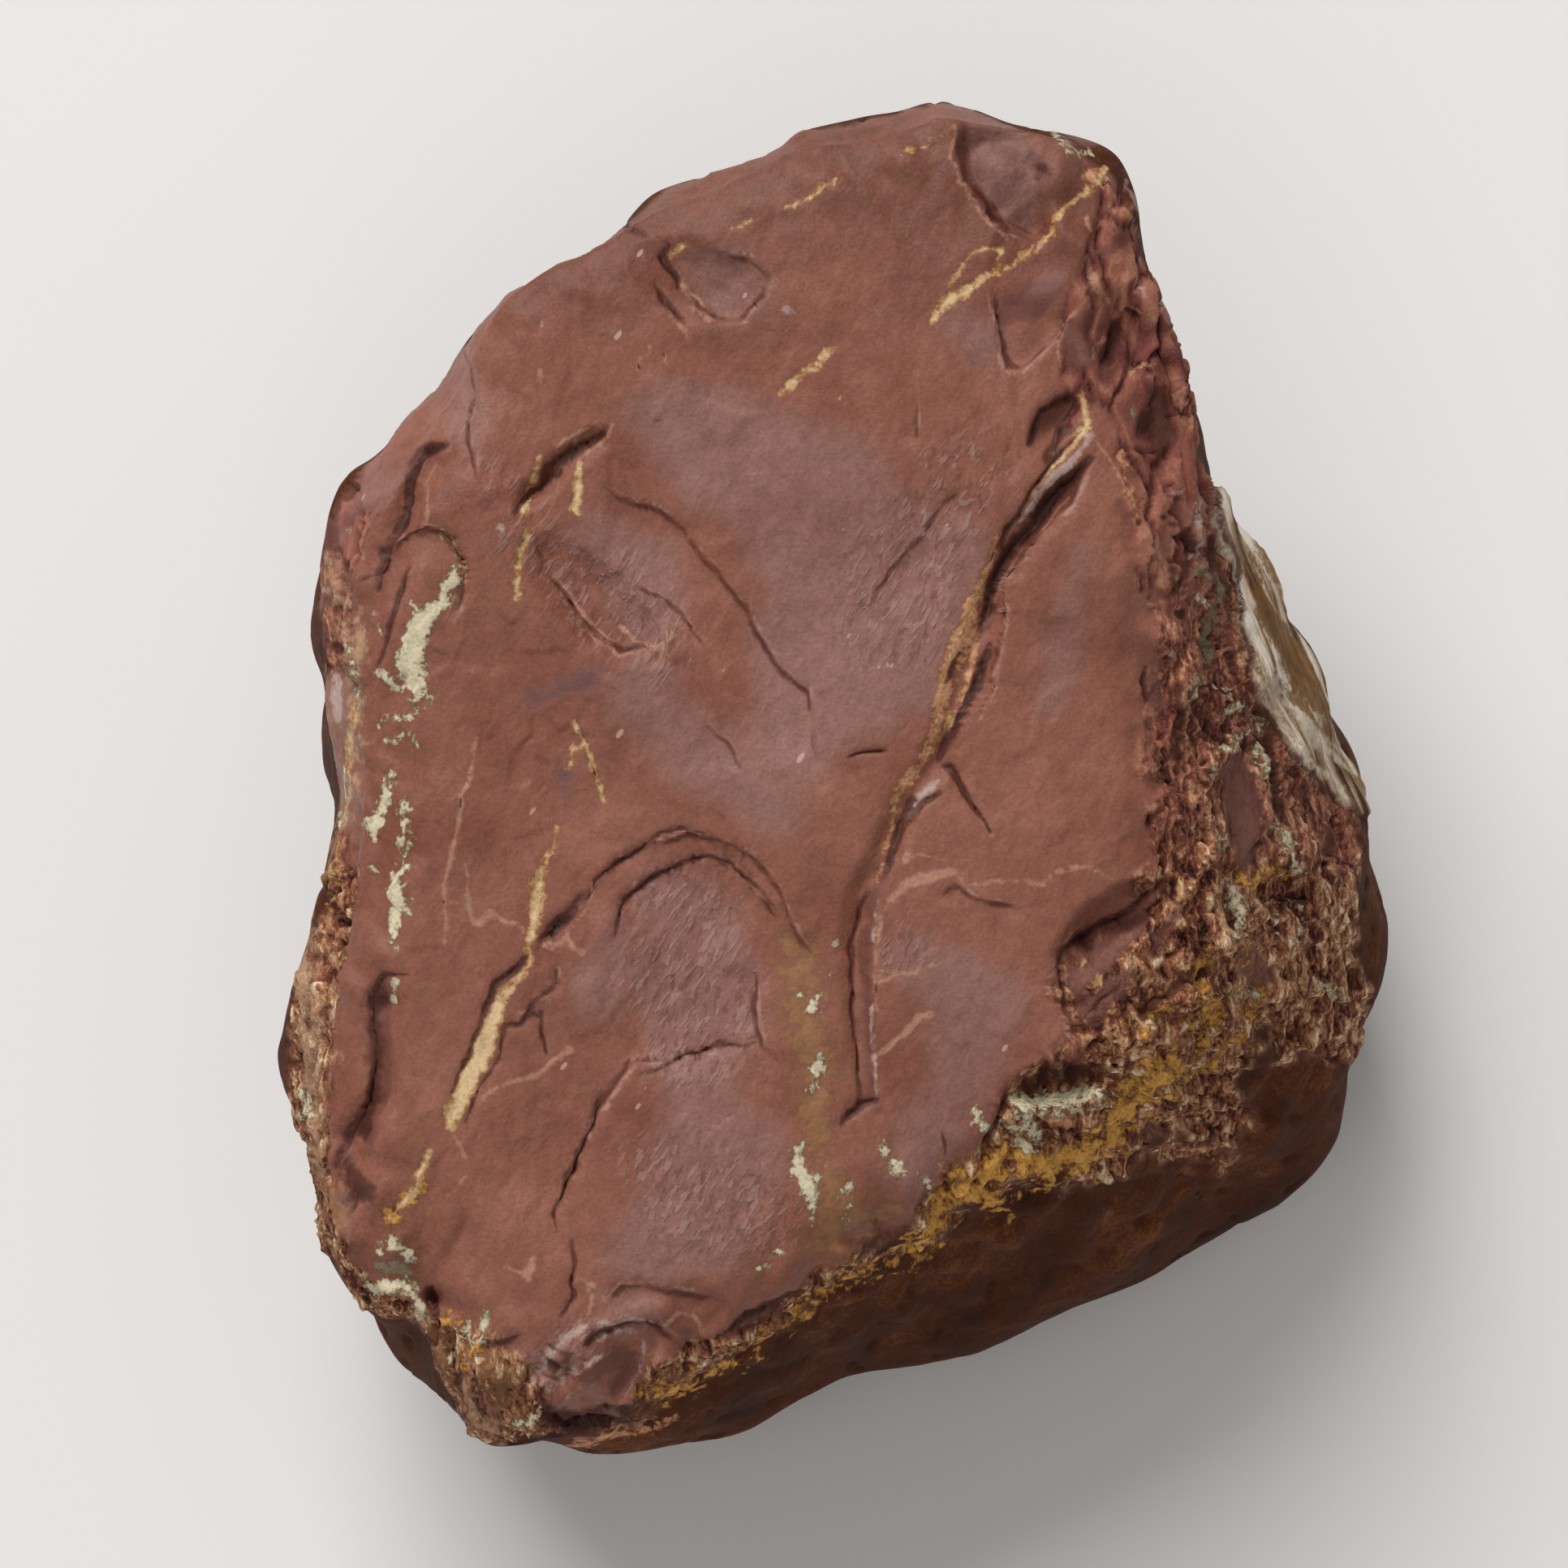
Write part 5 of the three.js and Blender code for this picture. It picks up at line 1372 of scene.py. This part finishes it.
def jasperMaterial():
    # body colour by patches, grey sheen patches with their sheen painted in, flecks, hackles and specks, and
    # painted shade towards the top of the face, then crust, rind and wing by their tones, which carry painted
    # light and shade of their relief, then the stains and the painted light and shade of the marks in turn.
    # One bump adds up all the fine relief
    look = jasperLook
    mixing, easing = {"data_type": "RGBA"}, {"interpolation_type": "SMOOTHSTEP"}
    adding = {"operation": "MULTIPLY_ADD"}
    material = bpy.data.materials.new("roughJasper")
    material.use_nodes = True
    tree = material.node_tree
    tree.nodes.clear()
    place = addNode(tree, "ShaderNodeTexCoord", {}, {}).outputs["Object"]
    mm = addNode(tree, "ShaderNodeVectorMath", {"operation": "SCALE"}, {0: place, "Scale": 1000.0}).outputs[0]
    bend = addNode(tree, "ShaderNodeTexNoise", {}, {
        "Vector": mm, "Scale": 1 / look["bendSize"], "Detail": 3.0, "Roughness": 0.6}).outputs["Color"]
    bent = addNode(tree, "ShaderNodeVectorMath", adding, {
        0: bend, 1: [look["bendReach"]] * 3, 2: mm}).outputs[0]
    signal = {name: addNode(tree, "ShaderNodeAttribute", {"attribute_name": name}, {}).outputs["Fac"]
              for name in stoneFields}
    for name, (size, detail, lean, long, deep, curly) in patterns.items():
        along = addNode(tree, "ShaderNodeMapping", {"vector_type": "TEXTURE"}, {
            "Vector": bent if curly else mm, "Rotation": (0.0, 0.0, -math.radians(lean)),
            "Scale": (1.0, long, deep)}).outputs[0]
        signal[name] = addNode(tree, "ShaderNodeTexNoise", {}, {
            "Vector": along, "Scale": 1 / size, "Detail": detail, "Roughness": 0.6}).outputs["Fac"]
    for name, (start, parts) in sums.items():
        signal[name] = start
        for part, weight in parts:
            signal[name] = addNode(tree, "ShaderNodeMath", adding, {
                0: signal[part], 1: weight, 2: signal[name]}).outputs[0]
    # flat flakes: each cell of a bent cell pattern lies on its own tilted plane
    flakes = addNode(tree, "ShaderNodeTexVoronoi", {}, {"Vector": bent, "Scale": 1 / look["flake"]})
    fromMiddle = addNode(tree, "ShaderNodeVectorMath", {"operation": "SUBTRACT"}, {
        0: bent, 1: flakes.outputs["Position"]}).outputs[0]
    lean = addNode(tree, "ShaderNodeVectorMath", {"operation": "SUBTRACT"}, {
        0: flakes.outputs["Color"], 1: (0.5, 0.5, 0.5)}).outputs[0]
    signal["flakeHeight"] = addNode(tree, "ShaderNodeVectorMath", {"operation": "DOT_PRODUCT"}, {
        0: lean, 1: fromMiddle}).outputs["Value"]
    # body: purple-grey over red-brown where the grey sheen patches lie, their sheen painted into the colour,
    # made lighter and darker by flecks and scratches and darker towards the top of the face as painted shade
    ramps = {}
    for name, by in rampTones:
        ramps[name] = addNode(tree, "ShaderNodeValToRGB", {}, {"Fac": signal[by]}, look[name]).outputs[0]
    edge = addNode(tree, "ShaderNodeMath", adding, {
        0: signal["patch"], 1: 4.0, 2: signal["greySheen"]}).outputs[0]
    greySheenShare = addNode(tree, "ShaderNodeMapRange", easing, {
        "Value": edge, "From Min": look["greySheenEdge"][0], "From Max": look["greySheenEdge"][1],
        "To Max": look["greySheenCover"]}).outputs[0]
    colour = addNode(tree, "ShaderNodeMix", mixing, {
        0: greySheenShare, 6: ramps["base"], 7: ramps["greySheen"]}).outputs[2]
    shade = addNode(tree, "ShaderNodeMapRange", {}, {
        "Value": signal["light"], "From Min": 0.4, "From Max": 1.3,
        "To Min": look["fleckAndTopShade"][0], "To Max": look["fleckAndTopShade"][1]}).outputs[0]
    colour = addNode(tree, "ShaderNodeVectorMath", {"operation": "SCALE"}, {
        0: colour, "Scale": shade}).outputs[0]
    # hackles, short ridges of light and shade in clusters where the break is feathered
    gather = addNode(tree, "ShaderNodeMath", adding, {
        0: signal["cluster"], 1: 5.0, 2: signal["feather"]}).outputs[0]
    gathered = addNode(tree, "ShaderNodeMapRange", easing, {
        "Value": gather, "From Min": look["hackleGather"][0],
        "From Max": look["hackleGather"][1]}).outputs[0]
    for name in ("shade", "hackle"):
        stroke = addNode(tree, "ShaderNodeMapRange", easing, {
            "Value": signal[name], "From Min": look["hackleEdge"][0], "From Max": look["hackleEdge"][1],
            "To Max": look[name + "Cover"]}).outputs[0]
        signal[name + "Line"] = addNode(tree, "ShaderNodeMath", {"operation": "MULTIPLY"}, {
            0: stroke, 1: gathered}).outputs[0]
        colour = addNode(tree, "ShaderNodeMix", mixing, {
            0: signal[name + "Line"], 6: colour, 7: linearColour(look[name + "Colour"])}).outputs[2]
    # pale specks: dots of random sizes, most of them none, one to a cell
    along = addNode(tree, "ShaderNodeMapping", {"vector_type": "TEXTURE"}, {
        "Vector": mm, "Rotation": (0.0, 0.0, -0.6), "Scale": (1.0, 2.4, 1.0)}).outputs[0]
    specks = addNode(tree, "ShaderNodeTexVoronoi", {}, {"Vector": along, "Scale": 1 / look["speck"]})
    chance = addNode(tree, "ShaderNodeSeparateColor", {}, {0: specks.outputs["Color"]}).outputs[0]
    speckSize = addNode(tree, "ShaderNodeMapRange", {}, {
        "Value": chance, "From Min": look["speckChance"], "To Max": look["speckSize"]}).outputs[0]
    inside = addNode(tree, "ShaderNodeMath", {"operation": "SUBTRACT"}, {
        0: speckSize, 1: specks.outputs["Distance"]}).outputs[0]
    speck = addNode(tree, "ShaderNodeMapRange", easing, {
        "Value": inside, "From Max": 0.03, "To Max": 0.65}).outputs[0]
    crust = addNode(tree, "ShaderNodeMix", mixing, {
        0: signal["dusk"], 6: ramps["redCrust"], 7: ramps["tanCrust"]}).outputs[2]
    crust = addNode(tree, "ShaderNodeMix", mixing, {
        0: signal["calm"], 6: crust, 7: ramps["calmCrust"]}).outputs[2]
    # dark holes in the crust, where one noise is low: painted shade in the holes that the bump sinks
    low = addNode(tree, "ShaderNodeMath", adding, {
        0: signal["coarse"], 1: -0.3, 2: signal["hole"]}).outputs[0]
    lit = addNode(tree, "ShaderNodeMapRange", easing, {
        "Value": low, "From Min": look["holeEdge"][0], "From Max": look["holeEdge"][1],
        "To Min": look["holeShade"]}).outputs[0]
    crust = addNode(tree, "ShaderNodeVectorMath", {"operation": "SCALE"}, {0: crust, "Scale": lit}).outputs[0]
    for share, paint in ((speck, linearColour(look["speckColour"])), (signal["crust"], crust),
                         (signal["rind"], ramps["rind"]), (signal["wing"], ramps["wing"])):
        colour = addNode(tree, "ShaderNodeMix", mixing, {0: share, 6: colour, 7: paint}).outputs[2]
    for name, edgeColour, innerColour, pattern, ragged, soft, core, cover in stainsAndPaintedLight:
        jag = addNode(tree, "ShaderNodeMapRange", {"clamp": False}, {
            "Value": signal[pattern], "From Min": 0.3, "From Max": 0.7,
            "To Min": -ragged, "To Max": ragged}).outputs[0]
        inside = addNode(tree, "ShaderNodeMath", {"operation": "ADD"}, {0: signal[name], 1: jag}).outputs[0]
        share = addNode(tree, "ShaderNodeMapRange", easing, {
            "Value": inside, "From Min": -soft / 2, "From Max": soft / 2, "To Max": cover}).outputs[0]
        reach = addNode(tree, "ShaderNodeMapRange", {}, {"Value": inside, "From Max": core}).outputs[0]
        uneven = addNode(tree, "ShaderNodeMath", adding, {
            0: signal["grain"], 1: 1.3, 2: reach}).outputs[0]
        depth = addNode(tree, "ShaderNodeMapRange", {}, {
            "Value": uneven, "From Min": 1.3, "From Max": 2.45}).outputs[0]
        paint = addNode(tree, "ShaderNodeMix", mixing, {
            0: depth, 6: linearColour(edgeColour), 7: linearColour(innerColour)}).outputs[2]
        colour = addNode(tree, "ShaderNodeMix", mixing, {0: share, 6: colour, 7: paint}).outputs[2]
    # waxy on the break, dull on crust and rind
    dull = addNode(tree, "ShaderNodeMath", {"operation": "MAXIMUM"}, {
        0: signal["crust"], 1: signal["rind"]}).outputs[0]
    gloss = addNode(tree, "ShaderNodeMapRange", {}, {
        "Value": dull, "To Min": look["roughness"][0], "To Max": look["roughness"][1]}).outputs[0]
    for name in ("fibre", "hole"):
        signal[name + "Height"] = addNode(tree, "ShaderNodeMath", {"operation": "MULTIPLY"}, {
            0: signal[name], 1: signal["coarse"]}).outputs[0]
    relief = 0.0
    for name, height in look["relief"]:
        relief = addNode(tree, "ShaderNodeMath", adding, {
            0: signal[name], 1: height, 2: relief}).outputs[0]
    bump = addNode(tree, "ShaderNodeBump", {}, {
        "Height": relief, "Strength": 1.0, "Distance": 0.001}).outputs[0]
    surface = addNode(tree, "ShaderNodeBsdfPrincipled", {}, {
        "Base Color": colour, "Roughness": gloss, "IOR": look["ior"], "Specular IOR Level": look["specular"],
        "Normal": bump})
    addNode(tree, "ShaderNodeOutputMaterial", {}, {"Surface": surface.outputs[0]})
    return material


stone.data.materials.append(jasperMaterial())
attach(stone, "root")
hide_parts("jasper")
print("stone: material on")

# ---- studio
studio = {
    "floorColour": "#ebe8e5",
    "floorSize": 3.0,  # metres
    "keyPlace": (-0.48, 0.86, 1.24),  # metres: soft window light from the upper left of the face
    "keySize": 0.95,  # metres
    "keyPower": 20.3,  # watts
    "fillPlace": (-0.15, -0.55, 1.0),  # weak fill from below the face
    "fillSize": 0.8,
    "fillPower": 2.3,
    "sky": 0.27,  # strength of the even light all round
    "viewHeight": 75.0,  # degrees above the floor that the camera looks down from
    "viewWidth": 80.5,  # mm across the view at the middle of the face
}


def addLight(name, place, size, power):
    # a square soft light that faces the stone
    light = bpy.data.lights.new(name, "AREA")
    light.size, light.energy = size, power
    lamp = bpy.data.objects.new(name, light)
    bpy.context.scene.collection.objects.link(lamp)
    lamp.location = place
    toStone = Vector((0, 0, 0.03)) - lamp.location
    lamp.rotation_euler = toStone.to_track_quat("-Z", "Y").to_euler()


half = studio["floorSize"] / 2
corners = np.array([(-half, -half, 0), (half, -half, 0), (half, half, 0), (-half, half, 0)])
floor = makeMesh("paleFloor", corners, np.array([(0, 1, 2, 3)]), {})
floorMaterial = bpy.data.materials.new("palePaper")  # matt white paper: even and without gloss
floorMaterial.use_nodes = True
paper = floorMaterial.node_tree.nodes["Principled BSDF"]
paper.inputs["Base Color"].default_value = linearColour(studio["floorColour"])
paper.inputs["Roughness"].default_value = 0.9
floor.data.materials.append(floorMaterial)

addLight("windowLight", studio["keyPlace"], studio["keySize"], studio["keyPower"])
addLight("fillLight", studio["fillPlace"], studio["fillSize"], studio["fillPower"])
world = bpy.data.worlds.new("evenSky")
world.use_nodes = True
world.node_tree.nodes["Background"].inputs["Color"].default_value = (1.0, 1.0, 1.0, 1.0)
world.node_tree.nodes["Background"].inputs["Strength"].default_value = studio["sky"]
bpy.context.scene.world = world
bpy.context.scene.view_settings.view_transform = "Standard"

# the camera looks along the face's normal at the middle of the face, the top of its view towards +Y
tilt = math.radians(studio["viewHeight"])
middle = (laid(0, 0, 0) + frameShift) / 1000
camera = bpy.data.cameras.new("overFace")
camera.lens = camera.sensor_width * stoneForm["viewReach"] / studio["viewWidth"]
cameraObject = bpy.data.objects.new("overFace", camera)
bpy.context.scene.collection.objects.link(cameraObject)
reach = stoneForm["viewReach"] / 1000
cameraObject.location = middle + reach * np.array((0, -math.cos(tilt), math.sin(tilt)))
cameraObject.rotation_euler = (math.pi / 2 - tilt, 0, 0)
bpy.context.scene.camera = cameraObject
print("studio: floor, lights and camera set")
